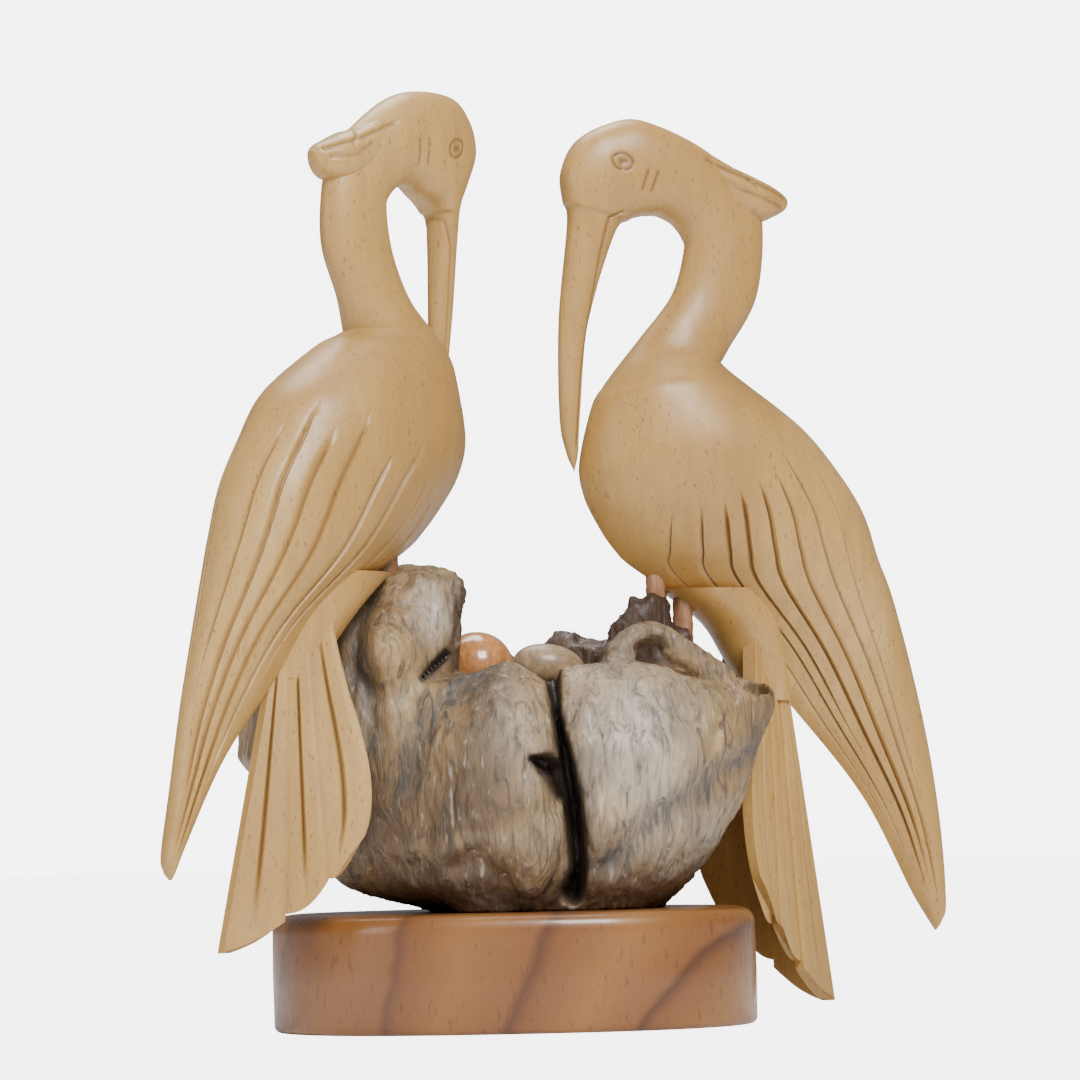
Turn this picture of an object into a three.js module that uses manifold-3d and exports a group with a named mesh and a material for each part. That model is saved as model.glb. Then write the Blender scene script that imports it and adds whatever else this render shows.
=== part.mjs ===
// A pair of carved wooden cranes standing on a hollow burl nest with two eggs, on an oval wooden base.
// Millimetres, +Z up. The origin is the middle of the base's underside, and the viewer stands at -Y.
import * as THREE from 'three';
import { mergeVertices } from 'three/addons/utils/BufferGeometryUtils.js';
import Module from 'manifold-3d';

const wasm = await Module();
wasm.setup();

// Driving dimensions
const BASE = { length: 100.8, depth: 88, height: 24.2, edge: 3.2, swell: 0.3, squareness: 2.5, sides: 36 };
const GAP = 0.3;
const NEST = { x: 2.5, y: 3, wall: 3.6, floor: 68.5, rise: 0.22, risesFrom: -12, risesTo: 9 };
const TAIL = {
  halfAngle: 40, width: 26.4, ridgeFlat: 0.9, step: 0.9, overlap: 1.2, groove: 0.6,
  thickTop: 3.6, thickEnd: 2.4,
};
const GROOVE = { depth: 0.8, halfWidth: 0.65, fade: 0.8, shallowest: 0.05 };
const EGG_ROUND = { length: 16.4, radius: 7.9, blunt: 0.04 };
const EGG_LONG = { length: 15.2, radius: 4.6, blunt: 0.1 };
const COLOURS = {
  bird: 0xd9b67c, base: 0xa5662f, burl: 0xa68a63, leg: 0x9c6b40, eggRound: 0xc07a45, eggLong: 0x8f7a58,
};

// Small maths
const radians = (degrees) => (degrees * Math.PI) / 180;
const mix = (a, b, t) => a + (b - a) * t;
const clamp = (x, low, high) => Math.min(high, Math.max(low, x));
const smooth = (x) => { const t = clamp(x, 0, 1); return t * t * (3 - 2 * t); };
const powerOf = (x, p) => Math.sign(x) * Math.abs(x) ** p;

// A smooth curve through rows of numbers, with a sharp corner at the rows named in corners
function curveThrough(rows, corners = []) {
  const last = rows.length - 1;
  const slope = (i, side, k) => {
    if (i === 0) return rows[1][k] - rows[0][k];
    if (i === last) return rows[last][k] - rows[last - 1][k];
    if (!corners.includes(i)) return (rows[i + 1][k] - rows[i - 1][k]) / 2;
    return side > 0 ? rows[i + 1][k] - rows[i][k] : rows[i][k] - rows[i - 1][k];
  };
  return (t) => {
    const i = Math.min(Math.floor(t), last - 1);
    const s = t - i;
    return rows[i].map((value, k) => {
      const enter = s ** 3 - 2 * s ** 2 + s;
      const leave = s ** 3 - s ** 2;
      const blend = 3 * s ** 2 - 2 * s ** 3;
      return mix(value, rows[i + 1][k], blend) + enter * slope(i, 1, k) + leave * slope(i + 1, -1, k);
    });
  };
}

// A closed geometry from a list of [x, y, z] points and a list of triangles
function closedGeometry(points, triangles) {
  const geometry = new THREE.BufferGeometry();
  geometry.setAttribute('position', new THREE.Float32BufferAttribute(points.flat(), 3));
  geometry.setIndex(triangles.flat());
  return mergeVertices(geometry, 1e-4);
}

// Skin over rings of points. Rings may differ in their number of points, each of which has its angle.
function loftGeometry(rings) {
  const points = [];
  const starts = rings.map((ring) => {
    const start = points.length;
    ring.forEach((p) => points.push(p.at));
    return start;
  });
  const triangles = [];
  for (let r = 0; r + 1 < rings.length; r += 1) {
    const [low, high] = [rings[r], rings[r + 1]];
    let [i, j] = [0, 0];
    while (i < low.length || j < high.length) {
      const nextLow = i < low.length ? (low[i + 1]?.angle ?? 360) : Infinity;
      const nextHigh = j < high.length ? (high[j + 1]?.angle ?? 360) : Infinity;
      const a = starts[r] + (i % low.length);
      const b = starts[r + 1] + (j % high.length);
      if (nextLow <= nextHigh) {
        triangles.push([a, starts[r] + ((i + 1) % low.length), b]);
        i += 1;
      } else {
        triangles.push([a, starts[r + 1] + ((j + 1) % high.length), b]);
        j += 1;
      }
    }
  }
  [[0, 1], [rings.length - 1, -1]].forEach(([r, side]) => {
    const ring = rings[r];
    const middle = [0, 1, 2].map((k) => ring.reduce((sum, p) => sum + p.at[k], 0) / ring.length);
    const hub = points.push(middle) - 1;
    ring.forEach((_, i) => {
      const [a, b] = [starts[r] + i, starts[r] + ((i + 1) % ring.length)];
      triangles.push(side > 0 ? [hub, b, a] : [hub, a, b]);
    });
  });
  return closedGeometry(points, triangles);
}

// Solids for joining and cutting
function solidOf(geometry) {
  const bare = geometry.clone();
  bare.deleteAttribute('normal');
  bare.deleteAttribute('uv');
  const merged = mergeVertices(bare, 1e-4);
  const vertProperties = new Float32Array(merged.attributes.position.array);
  const triVerts = new Uint32Array(merged.index.array);
  const solid = new wasm.Manifold(new wasm.Mesh({ numProp: 3, vertProperties, triVerts }));
  if (solid.volume() >= 0) return solid;
  const turned = triVerts.slice();
  for (let i = 0; i < turned.length; i += 3) [turned[i + 1], turned[i + 2]] = [turned[i + 2], turned[i + 1]];
  return new wasm.Manifold(new wasm.Mesh({ numProp: 3, vertProperties, triVerts: turned }));
}

function geometryOf(solid) {
  const mesh = solid.getMesh();
  const geometry = new THREE.BufferGeometry();
  geometry.setAttribute('position', new THREE.BufferAttribute(mesh.vertProperties, 3));
  geometry.setIndex(new THREE.BufferAttribute(mesh.triVerts, 1));
  geometry.computeVertexNormals();
  return geometry;
}

const joined = (solids) => solids.reduce((whole, solid) => whole.add(solid));

// The cranes. Each is carved in one piece. In a bird's own frame x points forward, y to its left and z up.
// The skin runs over rungs from the beak's tip over the head and down the neck and back to the wing tips.
// A rung joins a point on the outer line (beak's front, crown, nape, back) to one on the inner line
// (beak's rear, throat, breast, wings' lower edge): [outer x, outer z, inner x, inner z].
const RUNGS_LEFT = [
  [18.2, 122.8, 18.1, 122.7], [20.0, 127.2, 17.3, 127.2], [21.5, 134.7, 17.1, 134.6],
  [23.8, 150.8, 17.7, 150.2], [24.6, 167.0, 18.9, 168.8], [24.6, 173.2, 17.8, 171.6],
  [26.9, 178.7, 15.9, 173.2], [29.6, 185.5, 13.7, 174.3], [27.7, 192.4, 12.1, 175.2],
  [21.9, 196.6, 10.6, 175.8], [8.0, 195.4, 7.3, 175.7], [-6.3, 186.1, 4.2, 172.9],
  [-12.1, 178.7, 3.3, 169.6], [-13.8, 163.4, 5.2, 161.0], [-8.8, 152.0, 9.4, 151.7],
  [-5.9, 145.0, 15.5, 144.7], [-8.6, 143.8, 19.7, 139.7], [-14.3, 141.2, 22.2, 135.0],
  [-28.4, 131.5, 25.4, 122.8], [-35.6, 121.3, 24.2, 115.7], [-41.2, 111.6, 20.2, 109.7],
  [-44.7, 101.0, 14.4, 103.5], [-47.3, 92.6, 7.8, 98.6], [-52.1, 78.0, -12.5, 87.8],
  [-56.1, 64.0, -29.0, 72.7], [-58.9, 49.8, -44.6, 56.5], [-61.8, 36.9, -56.2, 39.4],
  [-61.5, 33.4, -59.4, 34.4], [-60.7, 31.8, -60.5, 31.9],
];
const RUNGS_RIGHT = [
  [21.1, 116.4, 21.0, 116.3], [22.8, 120.4, 20.1, 120.4], [24.1, 128.3, 19.5, 128.4],
  [23.8, 148.7, 17.3, 147.7], [21.3, 169.8, 11.1, 166.9], [22.1, 174.5, 7.6, 170.3],
  [22.4, 180.5, 4.6, 171.3], [19.3, 186.9, 2.5, 171.5], [12.8, 190.8, 1.2, 171.5],
  [4.3, 192.0, -0.2, 171.1], [-10.3, 185.9, -2.8, 169.6], [-20.9, 176.1, -4.8, 166.6],
  [-23.3, 169.0, -5.1, 163.8], [-21.4, 154.1, -2.1, 154.5], [-14.6, 142.7, 5.4, 145.1],
  [-12.6, 139.7, 10.1, 139.4], [-14.6, 137.8, 13.9, 134.6], [-18.0, 135.2, 16.7, 130.1],
  [-30.0, 126.2, 19.8, 118.3], [-38.0, 117.3, 19.2, 111.5], [-44.5, 107.5, 16.6, 105.7],
  [-47.9, 97.3, 12.6, 99.7], [-51.2, 88.6, 7.3, 95.0], [-55.9, 71.3, -11.9, 82.9],
  [-59.4, 54.7, -28.0, 65.1], [-61.6, 37.9, -43.6, 45.9], [-62.4, 22.7, -54.2, 25.7],
  [-61.3, 18.6, -57.8, 19.8], [-60.0, 16.7, -59.8, 16.8],
];
// The section over each rung: [half width, sharpness of the lower edge, roundness]
const SECTIONS = [
  [0.3, 0, 1], [1.15, 0, 1], [1.65, 0, 1], [2.25, 0, 0.95], [3.6, 0, 0.85], [4.9, 0, 0.8],
  [5.8, 0, 0.78], [6.35, 0, 0.78], [6.55, 0, 0.8], [6.6, 0, 0.85], [6.15, 0, 0.92], [5.3, 0, 1],
  [5.05, 0, 1], [5.1, 0, 1], [6.2, 0, 1], [8.5, 0, 1], [10.5, 0.05, 1], [12.4, 0.1, 1],
  [15.4, 0.15, 1], [15.8, 0.2, 1], [15.2, 0.25, 1], [14, 0.35, 1], [12.2, 0.45, 1], [8.2, 0.5, 1],
  [5.7, 0.5, 1], [4.2, 0.5, 1], [2.7, 0.4, 1], [1.8, 0.2, 1], [0.5, 0, 1],
];
const NECK_CREASE = 15;
// The gouge cuts of one wing, from the back down: [first rung, angle there, last rung, angle there].
// The angle goes round the section, from 0 on the back to 180 on the lower edge.
const CUTS_LEFT = [
  [18.6, 20, 24.0, 9], [18.2, 34, 25.6, 25], [18.7, 48, 26.2, 37], [18.2, 62, 26.4, 57],
  [18.9, 82, 25.4, 76], [18.6, 97, 24.0, 91], [19.4, 114, 23.4, 112], [19.8, 128, 24.2, 136],
];
const CUTS_RIGHT = [
  [18.7, 45, 25.2, 63], [18.4, 60, 26.4, 72], [18.8, 70, 26.0, 88], [19.0, 80, 26.2, 104],
  [19.2, 90, 24.6, 112], [19.5, 99, 25.6, 126], [19.6, 109, 25.4, 142], [19.8, 122, 24.0, 156],
];

// Point of the section at an angle: x along the rung from the outer end (+1) to the inner end (-1)
function sectionPoint(angle, [width, sharpness, roundness]) {
  const [c, s] = [Math.cos(radians(angle)), Math.sin(radians(angle))];
  const x = powerOf(c, roundness);
  const widest = sharpness / (1 + sharpness);
  const full = Math.sqrt(1 - widest ** 2) * ((1 + widest) / 2) ** sharpness;
  return [x, (powerOf(s, roundness) * ((1 + x) / 2) ** sharpness * width) / full];
}

// Column angles and cut depths round a ring of the winged body at rung t. Plain columns keep clear of cuts.
const CLEAR_ANGLE = 9;

function wingColumns(t, size, cuts) {
  const half = clamp((GROOVE.halfWidth * 180) / (size * Math.PI), 1, 4);
  const carved = cuts.flatMap(([start, from, end, to]) => {
    const middle = mix(from, to, clamp((t - start) / (end - start), 0, 1));
    const depth = GROOVE.depth * smooth((t - start) / GROOVE.fade) * smooth((end - t) / GROOVE.fade);
    if (depth < GROOVE.shallowest) return [];
    return [{ angle: middle - half, depth: 0 }, { angle: middle, depth }, { angle: middle + half, depth: 0 }];
  });
  const plain = [22, 44, 66, 90, 114, 136, 158]
    .filter((angle) => carved.every((column) => Math.abs(column.angle - angle) > CLEAR_ANGLE))
    .map((angle) => ({ angle, depth: 0 }));
  const columns = [{ angle: 0, depth: 0 }, ...carved, ...plain].sort((a, b) => a.angle - b.angle);
  for (let i = 1; i < columns.length; i += 1) {
    columns[i].angle = Math.max(columns[i].angle, columns[i - 1].angle + 0.3);
  }
  const mirrored = columns.slice(1).reverse().map(({ angle, depth }) => ({ angle: 360 - angle, depth }));
  return [...columns, { angle: 180, depth: 0 }, ...mirrored];
}

function plainColumns(count) {
  return Array.from({ length: count }, (_, i) => ({ angle: (360 * i) / count, depth: 0 }));
}

// The whole skin of one bird, without crest and tail. The bends of the head and shoulders have extra rings.
const NECK_SIDES = 14;

function skinSolid({ rungs, cuts }) {
  const ladder = curveThrough(rungs, [NECK_CREASE]);
  const shape = curveThrough(SECTIONS);
  const stations = [];
  for (let i = 0; i + 1 < rungs.length; i += 1) {
    stations.push(i);
    if ((i >= 5 && i < 13) || (i >= 17 && i < 21)) stations.push(i + 0.5);
  }
  stations.push(rungs.length - 1);
  const rings = stations.map((t) => {
    const [ox, oz, ix, iz] = ladder(t);
    const section = shape(t);
    const [hx, hz] = [(ox - ix) / 2, (oz - iz) / 2];
    const halfRung = Math.hypot(hx, hz);
    const winged = t > NECK_CREASE + 2.4;
    const columns = winged ? wingColumns(t, (halfRung + section[0]) / 2, cuts) : plainColumns(NECK_SIDES);
    return columns.map(({ angle, depth }) => {
      const [x, y] = sectionPoint(angle, section);
      const reach = Math.hypot(x * halfRung, y) || 1;
      const keep = 1 - depth / reach;
      return { angle, at: [(ox + ix) / 2 + hx * x * keep, y * keep, (oz + iz) / 2 + hz * x * keep] };
    });
  });
  return solidOf(loftGeometry(rings));
}

// The crest, a pointed tuft behind the crown: [top x, top z, under x, under z] and half widths
const CREST_WIDTHS = [4.6, 5.2, 5.2, 4.4, 2.6, 1.2];
const CREST_LEFT = [
  [2, 191.4, 0, 178], [-4.1, 187.4, -4.6, 176.6], [-8.4, 186, -8.6, 175.6],
  [-12, 184.4, -12.4, 175.6], [-15.8, 182.7, -15.4, 177], [-17.4, 181.2, -17.1, 179.6],
];
const CREST_RIGHT = [
  [-9.2, 186.2, -10, 172], [-15.6, 182.6, -18, 171.2], [-20.6, 180.4, -22.6, 170.6],
  [-25, 178.4, -25.4, 171.6], [-28.2, 176.4, -28, 173], [-29, 175.2, -28.9, 174.2],
];

function crestSolid(rungs) {
  const rings = rungs.map(([tx, tz, ux, uz], i) => plainColumns(8).map(({ angle }) => {
    const [x, y] = sectionPoint(angle, [CREST_WIDTHS[i], 0, 0.75]);
    return { angle, at: [(tx + ux) / 2 + ((tx - ux) / 2) * x, y, (tz + uz) / 2 + ((tz - uz) / 2) * x] };
  }));
  return solidOf(loftGeometry(rings));
}

// The tail, a roof of two slabs that meet at a ridge. Each slab has three stepped feathers.
// Widths run out from the ridge and lengths down it, as a share of the ridge's length.
const TAIL_EDGE = curveThrough([[0.4], [0.52], [0.66], [0.82], [0.95], [1], [0.93]]);
const tailEdge = (t) => TAIL.width * TAIL_EDGE(clamp(t / 0.76, 0, 1) * 6)[0];
const firstSeam = (t) => TAIL.width * mix(0.13, 0.5, smooth(t * 1.02) * 0.5 + t * 0.5);
const secondSeam = (t) => TAIL.width * mix(0.22, 0.9, clamp(t, 0, 1));
const FEATHERS = [
  { inner: () => 0, outer: firstSeam, ends: [1, 0.915], bulge: 0.012, drop: 0 },
  { inner: firstSeam, outer: secondSeam, ends: [0.895, 0.8], bulge: 0.03, drop: TAIL.step },
  { inner: secondSeam, outer: tailEdge, ends: [0.785, 0.68], bulge: 0.055, drop: TAIL.step },
];

function featherSolid(feather, ridge, side) {
  const [topX, topZ, tipX, tipZ] = ridge;
  const [c, s] = [Math.cos(radians(TAIL.halfAngle)), Math.sin(radians(TAIL.halfAngle))];
  const place = (t, across, height) => [
    mix(topX, tipX, t) + across * c - height * s, side * (across * s + height * c), mix(topZ, tipZ, t),
  ];
  const first = feather.drop === 0;
  const shares = [0, 0.4, 0.5, 0.6, 1];
  const rings = [0, 0.33, 0.66, 0.88, 1].map((row) => {
    const thick = mix(TAIL.thickTop, TAIL.thickEnd, row);
    const outer = shares.map((share) => {
      const end = mix(feather.ends[0], feather.ends[1], share) + feather.bulge * Math.sin(Math.PI * share);
      const t = row * end;
      const under = first ? 0 : TAIL.overlap * (1 - share);
      const across = mix(feather.inner(t), feather.outer(t), share) - under;
      const cut = share === 0.5 ? TAIL.groove * smooth(row * 3) * smooth((1 - row) * 4) : 0;
      return { t, across, height: -feather.drop * (1 - share) - cut };
    });
    const top = outer.map(({ t, across, height }) => place(t, across, height));
    const under = [outer[0], outer[2], outer[4]].map(({ t, across }) => (
      place(t, Math.max(across, first ? thick * (c / s) : 0), -thick)
    ));
    if (first) {
      const flat = TAIL.ridgeFlat / s;
      top[0] = place(outer[0].t, flat, 0);
      top.unshift([top[0][0], -side * 0.2, top[0][2]]);
      under[0] = [mix(topX, tipX, outer[0].t) + thick / s, -side * 0.2, mix(topZ, tipZ, outer[0].t)];
    }
    const loop = [...top, ...under.reverse()];
    return loop.map((at, i) => ({ angle: (360 * i) / loop.length, at }));
  });
  return solidOf(loftGeometry(rings));
}

// The rump, a solid tapering from the belly into the tail's roof: [back x, front x, z, half width]
function rumpSolid(rows) {
  const rings = rows.map(([back, front, z, half]) => plainColumns(10).map(({ angle }) => ({
    angle,
    at: [mix(front, back, (1 + Math.cos(radians(angle))) / 2), half * Math.sin(radians(angle)), z],
  })));
  return solidOf(loftGeometry(rings));
}

const BIRDS = [
  {
    name: 'crane_left', rungs: RUNGS_LEFT, cuts: CUTS_LEFT, crest: CREST_LEFT,
    stand: [-26.8, -15, 0.7], facing: 48,
    ridge: [-29.4, 88, -48.2, 16.9],
    rump: [[-26, 1, 94, 9], [-28, -8, 87, 8.5], [-30, -14.5, 80, 6.5], [-31.5, -21, 72, 4]],
  },
  {
    name: 'crane_right', rungs: RUNGS_RIGHT, cuts: CUTS_RIGHT, crest: CREST_RIGHT,
    stand: [34.7, 14, 0.7], facing: 199,
    ridge: [-25.3, 86.5, -36.7, 2.3],
    rump: [[-24, 2, 91, 9], [-25, -7.5, 84, 8.5], [-26, -12.5, 76, 6.5], [-27, -18.5, 67, 4]],
  },
];

function birdGeometry(bird) {
  const tail = [-1, 1].flatMap((side) => FEATHERS.map((feather) => featherSolid(feather, bird.ridge, side)));
  const whole = geometryOf(joined([skinSolid(bird), crestSolid(bird.crest), rumpSolid(bird.rump), ...tail]));
  return whole.rotateZ(radians(bird.facing)).translate(...bird.stand);
}

// The burl, a hollow root stock. Its body is described by directions round the nest's middle:
// [direction, outer radii at the six heights below, rim radius, rim height, mouth radius, mouth height].
const BURL_HEIGHTS = [24.5, 29, 37, 47, 57, 66];
const BURL_BODY = [
  [8, 28, 33, 38, 42, 44, 43.5, 39, 75, 25, 77],
  [20, 28, 33, 37, 40, 41, 40, 35, 78, 24, 78],
  [38, 27, 33, 36, 38, 38, 37, 31, 80.5, 24, 79],
  [58, 27, 34, 38, 40, 40, 38, 30, 82, 23, 80.5],
  [72, 27, 34, 38, 40, 40, 38, 30, 84, 23, 81],
  [90, 26, 34, 38, 40, 41, 39, 30, 79.8, 23, 79],
  [104, 25, 34, 39, 41, 42, 40, 31, 81.5, 23, 80],
  [125, 23, 34, 40, 44, 45, 43, 34, 79, 24, 79],
  [150, 20, 34, 42, 48, 52, 50, 39, 81, 25, 82],
  [176, 18, 36, 44, 52.5, 60.5, 60, 51, 75, 24, 84],
  [200, 19, 38, 44, 50, 53, 52, 43, 82, 24, 84],
  [218, 21, 37, 41, 44, 45.5, 44, 36, 84, 23, 82],
  [232, 24, 35, 38.5, 40, 39, 37, 31, 74, 22, 76],
  [247, 30, 34, 38, 39, 38.5, 36, 29, 74.5, 21, 74],
  [262, 31, 33, 38, 39, 38.5, 36, 28, 76.4, 21, 75],
  [274, 30, 33, 38, 39, 38, 35, 27, 74, 21, 73],
  [283, 27, 29, 27, 26.5, 27.5, 27, 25, 70.8, 20.5, 71.6],
  [291, 30, 34, 36, 38, 38, 34.5, 26, 74.5, 21, 73.6],
  [305, 31, 35, 39, 41, 41, 37.5, 28, 75.6, 22, 74.6],
  [325, 30, 36, 41, 44, 45, 42.5, 34, 74.6, 24, 73.6],
  [340, 28, 35, 42, 46.5, 48, 48, 42, 71.5, 25, 74],
  [353, 28, 34, 41, 47, 51, 54, 52.5, 70.8, 25, 76],
];
const RIM_WIDTH = 2.8;
const FLOOR_INSET = 5;

function burlBodySolid() {
  const count = BURL_BODY.length;
  const shifted = (lap) => BURL_BODY.map(([turn, ...rest]) => [turn + 360 * lap, ...rest]);
  const wrapped = [-1, 0, 1].flatMap(shifted);
  const around = curveThrough(wrapped);
  const columns = Array.from({ length: 2 * count }, (_, i) => around(count + i / 2));
  const ringAt = (pick) => columns.map((row, i) => {
    const [radius, z] = pick(row);
    const turn = radians(row[0]);
    const x = NEST.x + radius * Math.cos(turn);
    return { angle: (360 * i) / columns.length, at: [x, NEST.y + radius * Math.sin(turn), z] };
  });
  const floorAt = (row) => nestFloor(NEST.x + (row[9] - FLOOR_INSET) * Math.cos(radians(row[0])));
  const mouthAt = (row, inset) => Math.min(row[9], row[7] - RIM_WIDTH - 0.6) - inset;
  const outside = BURL_HEIGHTS.map((height, k) => ringAt((row) => [row[k + 1], height]));
  const inside = [
    ringAt((row) => [mix(row[6], row[7], 0.5) + 0.8, mix(66, row[8], 0.6)]),
    ringAt((row) => [row[7], row[8]]),
    ringAt((row) => [row[7] - RIM_WIDTH, row[8] - 0.6]),
    ringAt((row) => [mouthAt(row, 0), row[10] - 0.8]),
    ringAt((row) => [mouthAt(row, 1.2), Math.min(floorAt(row) + NEST.wall, row[10] - 1.5)]),
    ringAt((row) => [row[9] - FLOOR_INSET, floorAt(row)]),
  ];
  return solidOf(loftGeometry([...outside, ...inside]));
}

// The nest's floor rises towards +X
function nestFloor(x) {
  return NEST.floor + NEST.rise * clamp(x - NEST.x, NEST.risesFrom, NEST.risesTo);
}

// A limb swept along rows of [x, y, z, half width, half thickness, twist]. A level one has level sections.
const LIMB_SIDES = 9;

function limbSolid({ rows, level, fine }) {
  const path = curveThrough(rows);
  const last = rows.length - 1.001;
  const steps = fine ? 2 : 1;
  const rings = Array.from({ length: steps * (rows.length - 1) + 1 }, (_, i) => {
    const t = Math.min(i / steps, last);
    const [x, y, z, wide, thick, twist] = path(t);
    const [ahead, behind] = [path(Math.min(t + 0.1, last)), path(Math.max(t - 0.1, 0))];
    const along = new THREE.Vector3(...[0, 1, 2].map((k) => (level && k < 2 ? 0 : ahead[k] - behind[k])));
    const across = new THREE.Vector3(0, 1, 0).cross(along.normalize()).normalize();
    const out = new THREE.Vector3().crossVectors(along, across);
    return plainColumns(LIMB_SIDES).map(({ angle }) => {
      const [c, d] = [Math.cos(radians(angle)) * wide, Math.sin(radians(angle)) * thick];
      const [ct, st] = [Math.cos(radians(twist)), Math.sin(radians(twist))];
      const at = new THREE.Vector3(x, y, z);
      at.addScaledVector(across, c * ct - d * st).addScaledVector(out, c * st + d * ct);
      return { angle, at: at.toArray() };
    });
  });
  return solidOf(loftGeometry(rings));
}

// The limbs that rise from the body: the column with its lip and knob, the twisted root and the ridge behind
// it, the arched ridge in front, and the drip under the front
const LIMBS = [
  { level: true, rows: [
    [-25, -12, 58, 15, 14, 0], [-24.5, -12.5, 70, 14.2, 13, 10], [-23.8, -12.5, 80, 13.6, 12, 20],
    [-21.6, -10.6, 87, 12, 10.6, 25], [-18.6, -9.5, 91.4, 9.4, 8.6, 25], [-21, -4.5, 95.4, 4.2, 3.6, 25],
  ] },
  { level: true, rows: [
    [-14, -14, 80, 3.4, 5, 0], [-12.6, -15, 87, 3.2, 5, 10], [-11.4, -15, 92, 2.6, 4.4, 15],
  ] },
  { level: true, rows: [
    [-25.5, -20, 70, 5, 4.5, 0], [-24.5, -22.5, 78, 6.6, 5.6, 0], [-24.5, -20, 85, 5, 4, 0],
  ] },
  { fine: true, rows: [
    [21, 0, 64, 7, 6, 0], [23.8, 3, 74, 6, 5, 15], [26.5, 7, 81, 5.6, 4.6, 35],
    [29.4, 9.6, 85, 6, 4, 55], [31, 11.8, 88.2, 2.8, 2.6, 80],
  ] },
  { rows: [[29, 8, 74, 6, 5, 0], [33, 12, 79, 5, 4.4, 20], [37, 14, 79.2, 3.4, 2.8, 30]] },
  { rows: [
    [20.5, -15, 71, 3, 2.6, 0], [23.6, -13, 77.5, 2.3, 2.4, 0], [29.4, -11, 81.6, 2.4, 2.6, 0],
    [36.4, -9, 77.8, 2.8, 3, 0], [43, -7, 72.6, 3.4, 3.4, 0], [49, -5, 67, 4, 4, 0],
  ] },
  { rows: [[4, -30, 42, 6, 5, 0], [3.8, -31, 35, 5, 4, 0], [3.6, -30.6, 28.6, 2.2, 2.2, 0]] },
];

// Broken hollows: [x, y, z, half sizes along x, y and z]
const HOLLOWS = [[50.5, -4, 69.5, 4.2, 5.5, 5], [29.6, -15, 78, 4.6, 9, 2.6], [-13, -25, 76.6, 1.6, 4, 2.2]];

function burlSolid() {
  const holes = HOLLOWS.map(([x, y, z, a, b, c]) => (
    solidOf(new THREE.SphereGeometry(1, 8, 6).scale(a, b, c).translate(x, y, z))
  ));
  return joined([burlBodySolid(), ...LIMBS.map(limbSolid)]).subtract(joined(holes));
}

// The eggs, turned ovals: length, radius, and how much blunter one end is
const EGG_SIDES = 10;

function eggGeometry({ length, radius, blunt }) {
  const rows = Array.from({ length: 9 }, (_, i) => {
    const turn = (Math.PI * i) / 8;
    const across = i % 8 === 0 ? 0 : radius * Math.sin(turn) * (1 + blunt * Math.cos(turn));
    return new THREE.Vector2(across, (-length / 2) * Math.cos(turn));
  });
  return new THREE.LatheGeometry(rows, EGG_SIDES);
}
const EGGS = [
  { name: 'egg_round', size: EGG_ROUND, at: [-6.7, 2, 75.1], tilt: [0, 12, 0], color: COLOURS.eggRound },
  { name: 'egg_long', size: EGG_LONG, at: [8.3, -7, 75.2], tilt: [0, 4, -84], color: COLOURS.eggLong },
];

// The legs, short upright pegs from the burl's top to the birds' bellies: axis and two radii
const LEGS = [
  { name: 'crane_left_leg_front', axis: [-25, -10.6], radii: [2.6, 2.3] },
  { name: 'crane_left_leg_back', axis: [-30.7, -9.8], radii: [2.4, 2.1] },
  { name: 'crane_right_leg_front', axis: [31.8, 13.4], radii: [2.3, 2.1] },
  { name: 'crane_right_leg_back', axis: [37.4, 14.2], radii: [2.3, 2] },
];
const HEAD_GAP = 0.6;
const PEG_SIDES = 10;
const PROBE_RADIUS = 1;

// The box of what a round upright probe meets in a solid
function probed(solid, x, y, radius) {
  const [bottom, top] = [BASE.height, 120];
  const column = new THREE.CylinderGeometry(radius, radius, top - bottom, PEG_SIDES).rotateX(Math.PI / 2);
  const common = geometryOf(solid.intersect(solidOf(column.translate(x, y, (top + bottom) / 2))));
  common.computeBoundingBox();
  return common.boundingBox;
}

// A peg's foot is flat, a gap above the burl. Its head is cut flat, sloped like the belly and clear of it.
function legGeometry({ axis, radii }, burl, bird) {
  const [x, y] = axis;
  const [footRadius, headRadius] = radii;
  const foot = probed(burl, x, y, footRadius).max.z + GAP;
  const belly = (dx, dy) => probed(bird, x + dx, y + dy, PROBE_RADIUS).min.z;
  const slopeX = (belly(headRadius, 0) - belly(-headRadius, 0)) / (2 * headRadius);
  const slopeY = (belly(0, headRadius) - belly(0, -headRadius)) / (2 * headRadius);
  const ringOf = (radius, heightAt) => plainColumns(PEG_SIDES).map(({ angle }) => {
    const [dx, dy] = [radius * Math.cos(radians(angle)), radius * Math.sin(radians(angle))];
    return { angle, at: [x + dx, y + dy, heightAt(dx, dy)] };
  });
  const slope = (dx, dy) => slopeX * dx + slopeY * dy;
  const rises = ringOf(headRadius, (dx, dy) => belly(dx, dy) - slope(dx, dy)).map(({ at }) => at[2]);
  const head = Math.min(belly(0, 0), ...rises) - HEAD_GAP;
  return loftGeometry([ringOf(footRadius, () => foot), ringOf(headRadius, (dx, dy) => head + slope(dx, dy))]);
}

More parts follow.
